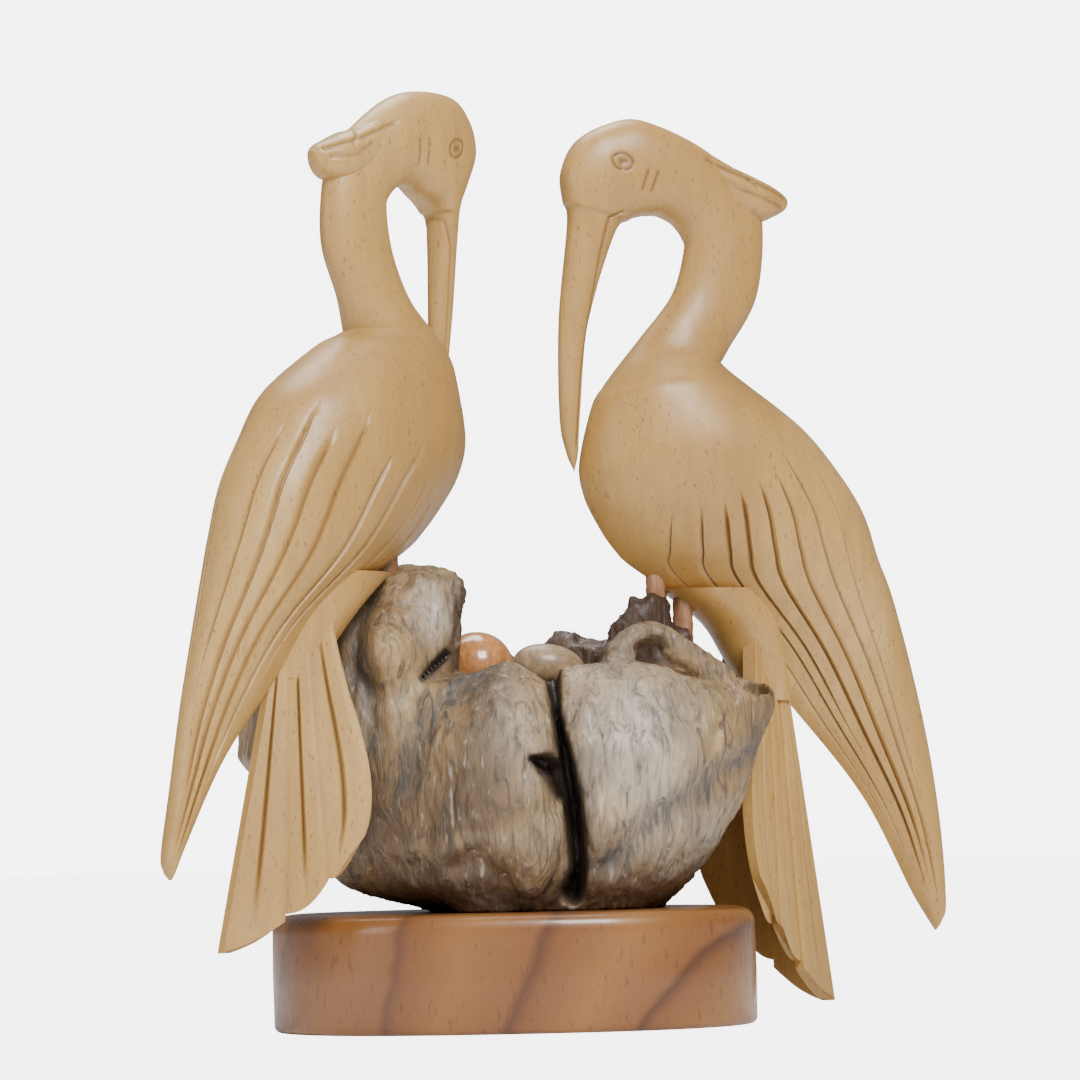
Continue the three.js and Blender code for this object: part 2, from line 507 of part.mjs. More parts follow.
// The slab base, an oval with full corners, a rounded upper edge and slightly swelling sides
function baseGeometry() {
  const rows = [[0, 1], [1, 0.3], [BASE.height / 2, -BASE.swell], [BASE.height - BASE.edge, 0.1]];
  for (let i = 1; i <= 3; i += 1) {
    const turn = radians(30 * i);
    rows.push([BASE.height - BASE.edge * (1 - Math.sin(turn)), 0.1 + BASE.edge * (1 - Math.cos(turn))]);
  }
  const power = 2 / BASE.squareness;
  const rings = rows.map(([z, inset]) => plainColumns(BASE.sides).map(({ angle }) => {
    const x = powerOf(Math.cos(radians(angle)), power) * (BASE.length / 2 - inset);
    const y = powerOf(Math.sin(radians(angle)), power) * (BASE.depth / 2 - inset);
    return { angle, at: [x, y, z] };
  }));
  return loftGeometry(rings);
}

// Assembly
const finish = (color, roughness) => new THREE.MeshStandardMaterial({ color, roughness, metalness: 0 });
const model = new THREE.Group();

function addMesh(parent, name, geometry, material) {
  const mesh = new THREE.Mesh(geometry, material);
  mesh.name = name;
  parent.add(mesh);
  return mesh;
}

addMesh(model, 'base_slab', baseGeometry(), finish(COLOURS.base, 0.4));
const burl = burlSolid();
addMesh(model, 'burl_nest', geometryOf(burl), finish(COLOURS.burl, 0.6));

BIRDS.forEach((bird) => {
  const geometry = birdGeometry(bird);
  const solid = solidOf(geometry);
  addMesh(model, bird.name, geometry, finish(COLOURS.bird, 0.5));
  LEGS.filter(({ name }) => name.startsWith(bird.name)).forEach((leg) => {
    addMesh(model, leg.name, legGeometry(leg, burl, solid), finish(COLOURS.leg, 0.5));
  });
});

EGGS.forEach((egg) => {
  const mesh = addMesh(model, egg.name, eggGeometry(egg.size), finish(egg.color, 0.3));
  mesh.position.set(...egg.at);
  mesh.rotation.set(...egg.tilt.map(radians));
});

export default model;
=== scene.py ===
import math
import bpy
import bmesh
import numpy as np
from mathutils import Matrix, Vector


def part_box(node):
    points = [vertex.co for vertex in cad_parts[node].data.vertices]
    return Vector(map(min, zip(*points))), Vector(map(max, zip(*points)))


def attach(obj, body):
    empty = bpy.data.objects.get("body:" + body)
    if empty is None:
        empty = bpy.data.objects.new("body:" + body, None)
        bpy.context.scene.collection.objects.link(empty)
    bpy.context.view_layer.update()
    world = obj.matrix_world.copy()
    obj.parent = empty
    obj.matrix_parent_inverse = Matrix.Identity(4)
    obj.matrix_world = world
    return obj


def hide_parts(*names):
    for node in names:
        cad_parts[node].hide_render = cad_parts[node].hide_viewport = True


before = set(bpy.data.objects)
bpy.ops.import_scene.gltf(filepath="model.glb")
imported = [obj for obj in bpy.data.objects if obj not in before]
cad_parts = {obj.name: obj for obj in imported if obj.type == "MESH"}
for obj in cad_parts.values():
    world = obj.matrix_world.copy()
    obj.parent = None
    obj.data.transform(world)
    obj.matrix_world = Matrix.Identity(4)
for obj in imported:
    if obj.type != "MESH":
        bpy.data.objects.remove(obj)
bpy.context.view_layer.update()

import openvdb
from mathutils import Matrix, Vector

# Base slab: one oval slab of orange-brown wood with full corners, sawn flat below, sanded and waxed, its
# upper edge rounded over by hand. A rule gives its shape, so a node tree builds it ring by ring.


def new_tree(name, inputs):
    tree = bpy.data.node_groups.new(name, "GeometryNodeTree")
    for label, kind, value in inputs:
        socket = tree.interface.new_socket(label, in_out="INPUT", socket_type=kind)
        if value is not None:
            socket.default_value = value
    tree.interface.new_socket("Geometry", in_out="OUTPUT", socket_type="NodeSocketGeometry")
    return tree, tree.nodes.new("NodeGroupInput"), tree.nodes.new("NodeGroupOutput")


def math_node(tree, operation, a, b=None):
    node = tree.nodes.new("ShaderNodeMath")
    node.operation = operation
    for socket, value in zip(node.inputs, (a, b)):
        if value is None:
            continue
        if hasattr(value, "is_output"):
            tree.links.new(value, socket)
        else:
            socket.default_value = value
    return node.outputs[0]


def profile_curve(tree, factor, points):
    node = tree.nodes.new("ShaderNodeFloatCurve")
    curve = node.mapping.curves[0]
    while len(curve.points) > 2:
        curve.points.remove(curve.points[1])
    curve.points[0].location = points[0]
    curve.points[1].location = points[-1]
    for x, y in points[1:-1]:
        curve.points.new(x, y)
    for point in curve.points:
        point.handle_type = "VECTOR"
    node.mapping.update()
    tree.links.new(factor, node.inputs["Value"])
    return node.outputs[0]


def built_by(tree, name, values, material):
    piece = bpy.data.objects.new(name, bpy.data.meshes.new(name))
    bpy.context.collection.objects.link(piece)
    modifier = piece.modifiers.new("build", "NODES")
    modifier.node_group = tree
    for item in tree.interface.items_tree:
        if item.in_out == "INPUT" and item.name in values:
            modifier[item.identifier] = values[item.name]
    evaluated = piece.evaluated_get(bpy.context.evaluated_depsgraph_get())
    mesh = bpy.data.meshes.new_from_object(evaluated)
    mesh.name = name
    piece.modifiers.remove(modifier)
    piece.data = mesh
    piece.data.materials.clear()
    piece.data.materials.append(material)
    return piece


def oval_tree():
    tree, given, result = new_tree("oval slab", [
        ("Length", "NodeSocketFloat", 0.1), ("Depth", "NodeSocketFloat", 0.088),
        ("Height", "NodeSocketFloat", 0.024), ("Squareness", "NodeSocketFloat", 2.5),
        ("Wobble", "NodeSocketFloat", 0.0003), ("Material", "NodeSocketMaterial", None)])
    link = tree.links.new
    grid = tree.nodes.new("GeometryNodeMeshGrid")
    grid.inputs["Size X"].default_value = 1
    grid.inputs["Size Y"].default_value = 1
    grid.inputs["Vertices X"].default_value = 241
    grid.inputs["Vertices Y"].default_value = 61
    place = tree.nodes.new("GeometryNodeInputPosition")
    split = tree.nodes.new("ShaderNodeSeparateXYZ")
    link(place.outputs[0], split.inputs[0])
    turn = math_node(tree, "MULTIPLY", math_node(tree, "ADD", split.outputs[0], 0.5), 2 * math.pi)
    along = math_node(tree, "ADD", split.outputs[1], 0.5)
    # from the underside's middle out, up the swelling side, round the edge and back to the top's middle
    reach = profile_curve(tree, along, [
        (0, 0), (0.2, 0.985), (0.23, 0.997), (0.38, 1), (0.58, 0.997), (0.62, 0.988), (0.66, 0.972),
        (0.70, 0.95), (0.74, 0.925), (1, 0)])
    level = profile_curve(tree, along, [
        (0, 0), (0.2, 0), (0.23, 0.03), (0.38, 0.45), (0.58, 0.88), (0.62, 0.935), (0.66, 0.972),
        (0.70, 0.992), (0.74, 1), (1, 1)])
    power = math_node(tree, "DIVIDE", 2.0, given.outputs["Squareness"])
    noise = tree.nodes.new("ShaderNodeTexNoise")
    noise.inputs["Scale"].default_value = 1.6
    circle = tree.nodes.new("ShaderNodeCombineXYZ")
    link(math_node(tree, "COSINE", turn), circle.inputs[0])
    link(math_node(tree, "SINE", turn), circle.inputs[1])
    link(along, circle.inputs[2])
    link(circle.outputs[0], noise.inputs["Vector"])
    centred = math_node(tree, "SUBTRACT", noise.outputs[0], 0.5)
    drift = math_node(tree, "MULTIPLY", centred, given.outputs["Wobble"])

    def coordinate(wave, size):
        value = math_node(tree, wave, turn)
        bent = math_node(tree, "MULTIPLY", math_node(tree, "SIGN", value),
                         math_node(tree, "POWER", math_node(tree, "ABSOLUTE", value), power))
        half = math_node(tree, "ADD", math_node(tree, "MULTIPLY", size, 0.5), drift)
        return math_node(tree, "MULTIPLY", math_node(tree, "MULTIPLY", bent, half), reach)

    point = tree.nodes.new("ShaderNodeCombineXYZ")
    link(coordinate("COSINE", given.outputs["Length"]), point.inputs[0])
    link(coordinate("SINE", given.outputs["Depth"]), point.inputs[1])
    link(math_node(tree, "MULTIPLY", level, given.outputs["Height"]), point.inputs[2])
    move = tree.nodes.new("GeometryNodeSetPosition")
    link(grid.outputs[0], move.inputs["Geometry"])
    link(point.outputs[0], move.inputs["Position"])
    weld = tree.nodes.new("GeometryNodeMergeByDistance")
    weld.inputs["Distance"].default_value = 0.00002
    link(move.outputs[0], weld.inputs[0])
    return finish_tree(tree, given, result, weld.outputs[0])


def finish_tree(tree, given, result, geometry):
    link = tree.links.new
    round_off = tree.nodes.new("GeometryNodeSetShadeSmooth")
    link(geometry, round_off.inputs[0])
    realize = tree.nodes.new("GeometryNodeRealizeInstances")
    link(round_off.outputs[0], realize.inputs[0])
    dress = tree.nodes.new("GeometryNodeSetMaterial")
    link(realize.outputs[0], dress.inputs["Geometry"])
    link(given.outputs["Material"], dress.inputs["Material"])
    link(dress.outputs[0], result.inputs[0])
    return tree


class Finish:
    """One material's node tree, with short calls for the nodes that the wood finishes share"""

    def __init__(self, name, roughness, coat=0.0, coat_roughness=0.3, specular=0.5):
        self.material = bpy.data.materials.new(name)
        self.material.use_nodes = True
        self.tree = self.material.node_tree
        self.shader = self.tree.nodes["Principled BSDF"]
        self.shader.inputs["Roughness"].default_value = roughness
        self.shader.inputs["Coat Weight"].default_value = coat
        self.shader.inputs["Coat Roughness"].default_value = coat_roughness
        self.shader.inputs["Specular IOR Level"].default_value = specular
        self.place = self.tree.nodes.new("ShaderNodeTexCoord").outputs["Object"]

    def link(self, a, b):
        self.tree.links.new(a, b)

    def mapped(self, scale, turn=(0, 0, 0), shift=(0, 0, 0), source=None):
        node = self.tree.nodes.new("ShaderNodeMapping")
        node.inputs["Scale"].default_value = scale
        node.inputs["Rotation"].default_value = turn
        node.inputs["Location"].default_value = shift
        self.link(source or self.place, node.inputs["Vector"])
        return node.outputs[0]

    def noise(self, vector, scale, detail=3.0, rough=0.5, warp=0.0):
        node = self.tree.nodes.new("ShaderNodeTexNoise")
        node.inputs["Scale"].default_value = scale
        node.inputs["Detail"].default_value = detail
        node.inputs["Roughness"].default_value = rough
        node.inputs["Distortion"].default_value = warp
        self.link(vector, node.inputs["Vector"])
        return node.outputs["Fac"]

    def attribute(self, name):
        node = self.tree.nodes.new("ShaderNodeAttribute")
        node.attribute_name = name
        return node.outputs["Fac"]

    def ramp(self, factor, stops):
        node = self.tree.nodes.new("ShaderNodeValToRGB")
        ramp = node.color_ramp
        while len(ramp.elements) < len(stops):
            ramp.elements.new(0.5)
        for element, (where, colour) in zip(ramp.elements, stops):
            element.position = where
            element.color = colour if len(colour) == 4 else (*colour, 1)
        self.link(factor, node.inputs[0])
        return node.outputs[0]

    def level(self, factor, low, high, a=0.0, b=1.0):
        node = self.tree.nodes.new("ShaderNodeMapRange")
        for socket, value in zip(list(node.inputs)[1:5], (low, high, a, b)):
            socket.default_value = value
        self.link(factor, node.inputs[0])
        return node.outputs[0]

    def blend(self, factor, a, b, mode="MIX"):
        node = self.tree.nodes.new("ShaderNodeMix")
        node.data_type = "RGBA"
        node.blend_type = mode
        for socket, value in zip((node.inputs[0], node.inputs[6], node.inputs[7]), (factor, a, b)):
            if hasattr(value, "is_output"):
                self.link(value, socket)
            else:
                socket.default_value = (*value, 1) if isinstance(value, tuple) else value
        return node.outputs[2]

    def math(self, operation, a, b=None):
        return math_node(self.tree, operation, a, b)

    def colour(self, value):
        self.link(value, self.shader.inputs["Base Color"])

    def roughness(self, value):
        self.link(value, self.shader.inputs["Roughness"])

    def bump(self, height, strength, distance):
        node = self.tree.nodes.new("ShaderNodeBump")
        node.inputs["Strength"].default_value = strength
        node.inputs["Distance"].default_value = distance
        self.link(height, node.inputs["Height"])
        previous = self.shader.inputs["Normal"]
        if previous.is_linked:
            self.link(previous.links[0].from_socket, node.inputs["Normal"])
        self.link(node.outputs[0], previous)


def base_wood():
    wood = Finish("base wood, waxed", 0.42, coat=0.45, coat_roughness=0.16)
    # growth rings: wide warped bands about an axis that leans through the slab
    warp = wood.noise(wood.mapped((14, 14, 30)), 1.0, 3)
    tilted = wood.mapped((1, 1, 1), turn=(0.15, 0.75, 0.2), shift=(-0.035, 0.02, 0.055))
    split = wood.tree.nodes.new("ShaderNodeSeparateXYZ")
    wood.link(tilted, split.inputs[0])
    across = wood.math("MULTIPLY", split.outputs[0], split.outputs[0])
    upright = wood.math("MULTIPLY", split.outputs[2], split.outputs[2])
    radius = wood.math("SQRT", wood.math("ADD", across, upright))
    turns = wood.math("ADD", wood.math("MULTIPLY", radius, 42.0), wood.math("MULTIPLY", warp, 0.8))
    rings = wood.math("FRACT", turns)
    band = wood.ramp(rings, [
        (0.0, (0.085, 0.027, 0.006)), (0.06, (0.215, 0.078, 0.016)), (0.5, (0.30, 0.122, 0.026)),
        (0.9, (0.19, 0.067, 0.013)), (1.0, (0.08, 0.026, 0.006))])
    side = wood.tree.nodes.new("ShaderNodeSeparateXYZ")
    wood.link(wood.place, side.inputs[0])
    lighter = wood.level(side.outputs[0], -0.05, 0.05)
    toned = wood.blend(lighter, wood.blend(0.45, band, (0.18, 0.065, 0.018)), band)
    pores = wood.noise(wood.mapped((900, 900, 260), turn=(0.3, 0.9, 0)), 1.0, 2, 0.7)
    fleck = wood.level(pores, 0.60, 0.70)
    wood.colour(wood.blend(wood.math("MULTIPLY", fleck, 0.55), toned, (0.09, 0.032, 0.010)))
    wood.roughness(wood.level(pores, 0.3, 0.8, 0.34, 0.55))
    wood.bump(fleck, -0.25, 0.0002)
    return wood.material


slab_tree = oval_tree()
base_slab = built_by(slab_tree, "base_slab_wood", {
    "Length": 0.1014, "Depth": 0.0886, "Height": 0.0242, "Squareness": 2.5, "Wobble": 0.0006}, base_wood())
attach(base_slab, "root")
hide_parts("base_slab")

# Cranes: each bird is carved with its wings, neck, crest and beak from one block of honey-coloured wood, cut
# with a V gouge and sanded to a satin sheen. Its skin runs over rungs from the beak's tip to the wing tips:
# outer x and z, then inner x and z, in the bird's own frame in millimetres.

RUNGS_LEFT = [
    (18.2, 122.8, 18.1, 122.7), (20.0, 127.2, 17.3, 127.2), (21.5, 134.7, 17.1, 134.6),
    (23.8, 150.8, 17.7, 150.2), (24.6, 167.0, 18.9, 168.8), (24.6, 173.2, 17.8, 171.6),
    (26.9, 178.7, 15.9, 173.2), (29.6, 185.5, 13.7, 174.3), (27.7, 192.4, 12.1, 175.2),
    (21.9, 196.6, 10.6, 175.8), (8.0, 195.4, 7.3, 175.7), (-6.3, 186.1, 4.2, 172.9),
    (-12.1, 178.7, 3.3, 169.6), (-13.8, 163.4, 5.2, 161.0), (-8.8, 152.0, 9.4, 151.7),
    (-5.9, 145.0, 15.5, 144.7), (-8.6, 143.8, 19.7, 139.7), (-14.3, 141.2, 22.2, 135.0),
    (-28.4, 131.5, 25.4, 122.8), (-35.6, 121.3, 24.2, 115.7), (-41.2, 111.6, 20.2, 109.7),
    (-44.7, 101.0, 14.4, 103.5), (-47.3, 92.6, 7.8, 98.6), (-52.1, 78.0, -12.5, 87.8),
    (-56.1, 64.0, -29.0, 72.7), (-58.9, 49.8, -44.6, 56.5), (-61.8, 36.9, -56.2, 39.4),
    (-61.5, 33.4, -59.4, 34.4), (-60.7, 31.8, -60.5, 31.9)]
RUNGS_RIGHT = [
    (21.1, 116.4, 21.0, 116.3), (22.8, 120.4, 20.1, 120.4), (24.1, 128.3, 19.5, 128.4),
    (23.8, 148.7, 17.3, 147.7), (21.3, 169.8, 11.1, 166.9), (22.1, 174.5, 7.6, 170.3),
    (22.4, 180.5, 4.6, 171.3), (19.3, 186.9, 2.5, 171.5), (12.8, 190.8, 1.2, 171.5),
    (4.3, 192.0, -0.2, 171.1), (-10.3, 185.9, -2.8, 169.6), (-20.9, 176.1, -4.8, 166.6),
    (-23.3, 169.0, -5.1, 163.8), (-21.4, 154.1, -2.1, 154.5), (-14.6, 142.7, 5.4, 145.1),
    (-12.6, 139.7, 10.1, 139.4), (-14.6, 137.8, 13.9, 134.6), (-18.0, 135.2, 16.7, 130.1),
    (-30.0, 126.2, 19.8, 118.3), (-38.0, 117.3, 19.2, 111.5), (-44.5, 107.5, 16.6, 105.7),
    (-47.9, 97.3, 12.6, 99.7), (-51.2, 88.6, 7.3, 95.0), (-55.9, 71.3, -11.9, 82.9),
    (-59.4, 54.7, -28.0, 65.1), (-61.6, 37.9, -43.6, 45.9), (-62.4, 22.7, -54.2, 25.7),
    (-61.3, 18.6, -57.8, 19.8), (-60.0, 16.7, -59.8, 16.8)]
# the section over each rung: half width, sharpness of the lower edge, roundness
SECTIONS = [
    (0.3, 0, 1), (1.15, 0, 1), (1.65, 0, 1), (2.25, 0, 0.95), (3.6, 0, 0.85), (4.9, 0, 0.8),
    (5.8, 0, 0.78), (6.35, 0, 0.78), (6.55, 0, 0.8), (6.6, 0, 0.85), (6.15, 0, 0.92), (5.3, 0, 1),
    (5.05, 0, 1), (5.1, 0, 1), (6.2, 0, 1), (8.5, 0, 1), (10.5, 0.05, 1), (12.4, 0.1, 1),
    (15.4, 0.15, 1), (15.8, 0.2, 1), (15.2, 0.25, 1), (14, 0.35, 1), (12.2, 0.45, 1), (8.2, 0.5, 1),
    (5.7, 0.5, 1), (4.2, 0.5, 1), (2.7, 0.4, 1), (1.8, 0.2, 1), (0.5, 0, 1)]
NECK_CREASE = 15
# gouge cuts from the back down: first rung, angle there, last rung, angle there, depth, half width
CUTS_LEFT = [
    (18.6, 20, 24.0, 9, 0.8, 0.7), (18.2, 34, 25.6, 25, 1.0, 0.9), (18.7, 48, 26.2, 37, 1.0, 0.9),
    (18.2, 62, 26.4, 57, 1.0, 0.9), (18.9, 82, 25.4, 76, 0.8, 0.8), (18.6, 97, 24.0, 91, 0.8, 0.8),
    (19.4, 114, 23.4, 112, 0.6, 0.6), (19.8, 128, 24.2, 136, 0.6, 0.6)]
CUTS_RIGHT = [
    (18.7, 45, 25.2, 63, 0.8, 0.42), (18.4, 60, 26.4, 72, 1.0, 0.45), (18.8, 70, 26.0, 88, 1.0, 0.45),
    (19.0, 80, 26.2, 104, 1.0, 0.45), (19.2, 90, 24.6, 112, 1.0, 0.45), (19.5, 99, 25.6, 126, 1.0, 0.45),
    (19.6, 109, 25.4, 142, 0.8, 0.42), (19.8, 122, 24.0, 156, 0.7, 0.42)]
CREST_WIDTHS = (4.6, 5.2, 5.2, 4.4, 2.6, 1.2)


def smooth(x):
    x = np.clip(x, 0, 1)
    return x * x * (3 - 2 * x)


def through(rows, corners=()):
    rows = np.array(rows, float)
    steps = np.diff(rows, axis=0)
    ahead, behind = np.vstack([steps, steps[-1:]]), np.vstack([steps[:1], steps])
    leave, enter = (ahead + behind) / 2, (ahead + behind) / 2
    for c in corners:
        leave[c], enter[c] = ahead[c], behind[c]

    def at(t):
        t = np.clip(np.asarray(t, float), 0, len(rows) - 1)
        i = np.minimum(t.astype(int), len(rows) - 2)
        s = (t - i)[..., None]
        return (rows[i] * (2 * s**3 - 3 * s**2 + 1) + rows[i + 1] * (3 * s**2 - 2 * s**3)
                + leave[i] * (s**3 - 2 * s**2 + s) + enter[i + 1] * (s**3 - s**2))
    return at


def section_point(angle, width, sharpness, roundness):
    c, s = np.cos(np.radians(angle)), np.sin(np.radians(angle))
    x = np.sign(c) * np.abs(c) ** roundness
    y = np.sign(s) * np.abs(s) ** roundness
    widest = sharpness / (1 + sharpness)
    full = np.sqrt(1 - widest**2) * ((1 + widest) / 2) ** sharpness
    return x, y * np.clip((1 + x) / 2, 0, 1) ** sharpness * width / full


def grid_faces(rings, columns, first=0):
    r, c = np.meshgrid(np.arange(rings - 1), np.arange(columns), indexing="ij")
    a, b = r * columns + c, r * columns + (c + 1) % columns
    return (np.stack([a, b, b + columns, a + columns], -1).reshape(-1, 4) + first).tolist()


MM = 0.001


def mesh_piece(name, points, faces, values=None):
    mesh = bpy.data.meshes.new(name)
    mesh.from_pydata((np.asarray(points, float) * MM).tolist(), [], faces)
    for label, numbers in (values or {}).items():
        layer = mesh.attributes.new(label, "FLOAT", "POINT")
        layer.data.foreach_set("value", np.asarray(numbers, np.float32))
    work = bmesh.new()
    work.from_mesh(mesh)
    bmesh.ops.recalc_face_normals(work, faces=work.faces)
    if work.calc_volume(signed=True) < 0:
        bmesh.ops.reverse_faces(work, faces=work.faces)
    work.to_mesh(mesh)
    work.free()
    piece = bpy.data.objects.new(name, mesh)
    bpy.context.collection.objects.link(piece)
    return piece


def closed_rings(rings):
    """Points and faces of a skin over equal rings, with a hub at each end"""
    rings = np.asarray(rings, float)
    count, columns, _ = rings.shape
    points = np.vstack([rings.reshape(-1, 3), rings[0].mean(0), rings[-1].mean(0)])
    faces = grid_faces(count, columns)
    low, high, last = count * columns, count * columns + 1, (count - 1) * columns
    faces += [(low, (i + 1) % columns, i) for i in range(columns)]
    faces += [(high, last + i, last + (i + 1) % columns) for i in range(columns)]
    return points, faces


def cut_columns(t, size, cuts):
    """Angles and depths of one side's columns for every ring"""
    angles, depths = [np.zeros_like(t)], [np.zeros_like(t)]
    previous = np.zeros_like(t)
    profile = ((-1, 0), (-0.55, 0.42), (-0.12, 0.97), (0.1, 0.97), (0.55, 0.45), (1, 0))

    def fill(upto, count):
        for k in range(1, count + 1):
            angles.append(previous + (upto - previous) * k / (count + 1))
            depths.append(np.zeros_like(t))
    for start, low, end, high, deep, half in cuts:
        middle = low + (high - low) * np.clip((t - start) / (end - start), 0, 1)
        fade = smooth((t - start) / 0.9) * smooth((end - t) / 1.4)
        spread = np.clip(np.degrees(half * (0.35 + 0.65 * fade) / size), 0.4, 4.5)
        fill(middle - spread, 4)
        for u, v in profile:
            angles.append(middle + u * spread)
            depths.append(deep * v * fade)
        previous = middle + spread
    fill(np.full_like(t, 180.0), 9)
    return np.stack(angles, 1), np.stack(depths, 1)


def chain_distance(points, rows):
    """Nearest distance to a broken line, and the values along it there"""
    rows = np.array(rows, float)
    dims = points.shape[-1]
    best = np.full(points.shape[:-1], 1e9)
    values = np.zeros(points.shape[:-1] + (rows.shape[1] - dims,))
    for a, b in zip(rows[:-1], rows[1:]):
        along = b[:dims] - a[:dims]
        s = np.clip(((points - a[:dims]) @ along) / (along @ along), 0, 1)
        far = np.linalg.norm(points - a[:dims] - s[..., None] * along, axis=-1)
        nearer = far < best
        best = np.where(nearer, far, best)
        value = a[dims:] + s[..., None] * (b[dims:] - a[dims:])
        values = np.where(nearer[..., None], value, values)
    return best, values


def eye_marks(x, z, lean):
    """A ring round the eye and its round pupil, as lines seen from the side"""
    turn = np.radians(np.arange(0, 361, 15))
    c, s = math.cos(math.radians(lean)), math.sin(math.radians(lean))
    wide, high = 2.3 * np.cos(turn), 1.75 * np.sin(turn)
    ring = np.stack([x + wide * c - high * s, z + wide * s + high * c], 1)
    # the ring's darkness is painted shade in its cut, the pupil's is ink
    return [(ring, 0.32, 0.30, 1.0), ([(x - 0.25, z), (x + 0.25, z)], 0.35, 0.85, 1.0)]


def engraved(points, shade_and_ink, marks):
    """Knife lines on both sides: the line seen from the side, its depth, half width and darkness, which is
    ink in a pupil and painted shade in a cut
    """
    points, side = points.copy(), points[..., [0, 2]]
    for line, deep, half, dark in marks:
        far, _ = chain_distance(side, line)
        near = np.exp(-(far / half) ** 2)
        points[..., 1] -= np.sign(points[..., 1]) * np.minimum(deep * near, 0.5 * np.abs(points[..., 1]))
        shade_and_ink = np.maximum(shade_and_ink, dark * near)
    return points, shade_and_ink


# knife lines seen from the side: eyes, the slits behind them, the mouth and the crest's grooves
# the last number of each line darkens the wood: ink in the pupils, painted shade in the cut lines
MARKS_LEFT = eye_marks(19.9, 184.4, 35) + [
    ([(9.2, 185.4), (9.5, 180.2)], 0.45, 0.32, 0.8), ([(11.9, 185.8), (11.9, 180.6)], 0.45, 0.32, 0.8),
    ([(15.2, 172.6), (19.6, 169.4), (21.2, 164), (20.9, 150), (19.6, 135), (18.9, 126)], 0.4, 0.3, 0.6),
    ([(3, 188.4), (-6, 184.6), (-15.5, 181.6)], 0.6, 0.45, 0.5),
    ([(-4, 183.6), (-9, 180.6), (-14.5, 180)], 0.5, 0.4, 0.5),
    ([(-6.5, 186.6), (-9.5, 182.6)], 0.4, 0.35, 0.5)]
MARKS_RIGHT = eye_marks(10.7, 182.2, 15) + [
    ([(5.0, 180.6), (6.3, 176.4)], 0.4, 0.3, 0.8), ([(2.8, 180.2), (4.2, 176.2)], 0.4, 0.3, 0.8),
    ([(10.5, 171.6), (13.3, 170.4), (15.1, 163), (17.2, 150), (19.4, 138.1), (20.7, 122)], 0.42, 0.3, 0.7),
    ([(-9, 183.4), (-18, 179.6), (-27.5, 175.6)], 0.6, 0.45, 0.6),
    ([(-13, 178.6), (-20, 175.8), (-26.5, 173.6)], 0.5, 0.4, 0.6),
    ([(-16, 182), (-20.5, 177.6)], 0.4, 0.35, 0.6)]
# each bird sets how dark the painted shade in its gouge cuts is, darker on the right bird
BIRDS = [
    {"name": "crane_left", "rungs": RUNGS_LEFT, "cuts": CUTS_LEFT, "marks": MARKS_LEFT, "shade_and_ink": 0.6,
     "stand": (-26.8, -15, 0.7), "facing": 48, "ridge": (-29.4, 88, -48.2, 16.9),
     "rump": [(-26, 1, 94, 9), (-28, -8, 87, 8.5), (-30, -14.5, 80, 6.5), (-31.5, -21, 72, 4)],
     "crest": [(2, 191.4, 0, 178), (-4.1, 187.4, -4.6, 176.6), (-8.4, 186, -8.6, 175.6),
               (-12, 184.4, -12.4, 175.6), (-15.8, 182.7, -15.4, 177), (-17.4, 181.2, -17.1, 179.6)]},
    {"name": "crane_right", "rungs": RUNGS_RIGHT, "cuts": CUTS_RIGHT, "marks": MARKS_RIGHT, "shade_and_ink": 1.0,
     "stand": (34.7, 14, 0.7), "facing": 199, "ridge": (-25.3, 86.5, -36.7, 2.3),
     "rump": [(-24, 2, 91, 9), (-25, -7.5, 84, 8.5), (-26, -12.5, 76, 6.5), (-27, -18.5, 67, 4)],
     "crest": [(-9.2, 186.2, -10, 172), (-15.6, 182.6, -18, 171.2), (-20.6, 180.4, -22.6, 170.6),
               (-25, 178.4, -25.4, 171.6), (-28.2, 176.4, -28, 173), (-29, 175.2, -28.9, 174.2)]}]


def ladder_skin(bird):
    rungs, cuts = bird["rungs"], bird["cuts"]
    last = len(rungs) - 1
    # rings lie close on the beak and closest on the head, where the eyes are engraved
    t = np.concatenate([np.arange(0, 3, 1 / 16), np.arange(3, 11, 1 / 22), np.arange(11, last, 1 / 11)])
    t = np.unique(np.append(t, (NECK_CREASE - 0.02, NECK_CREASE + 0.02, last)))
    ox, oz, ix, iz = through(rungs, (NECK_CREASE,))(t).T
    width, sharpness, roundness = np.maximum(through(SECTIONS)(t), 0).T
    hx, hz = (ox - ix) / 2, (oz - iz) / 2
    half_rung = np.hypot(hx, hz)
    angles, depths = cut_columns(t, (half_rung + width) / 2, cuts)
    angles = np.maximum.accumulate(angles, axis=1)
    angles = np.hstack([angles, np.full((len(t), 1), 180.0), 360 - angles[:, :0:-1]])
    depths = np.hstack([depths, np.zeros((len(t), 1)), depths[:, :0:-1]])
    x, y = section_point(angles, width[:, None], sharpness[:, None], roundness[:, None])
    reach = np.maximum(np.hypot(x * half_rung[:, None], y), 0.05)
    keep = 1 - np.minimum(depths / reach, 0.6)
    points = np.stack([
        ((ox + ix) / 2)[:, None] + hx[:, None] * x * keep, y * keep,
        ((oz + iz) / 2)[:, None] + hz[:, None] * x * keep], -1)
    # painted shade: each gouge cut is darkened by its depth, as shade in the groove
    shade_and_ink = np.clip(depths / 0.8, 0, 1) ** 1.5 * bird["shade_and_ink"]
    points, shade_and_ink = engraved(points, shade_and_ink, bird["marks"])
    skin, faces = closed_rings(points)
    return mesh_piece(bird["name"] + "_skin", skin, faces, {"shade_and_ink": np.append(shade_and_ink.reshape(-1), [0, 0])})


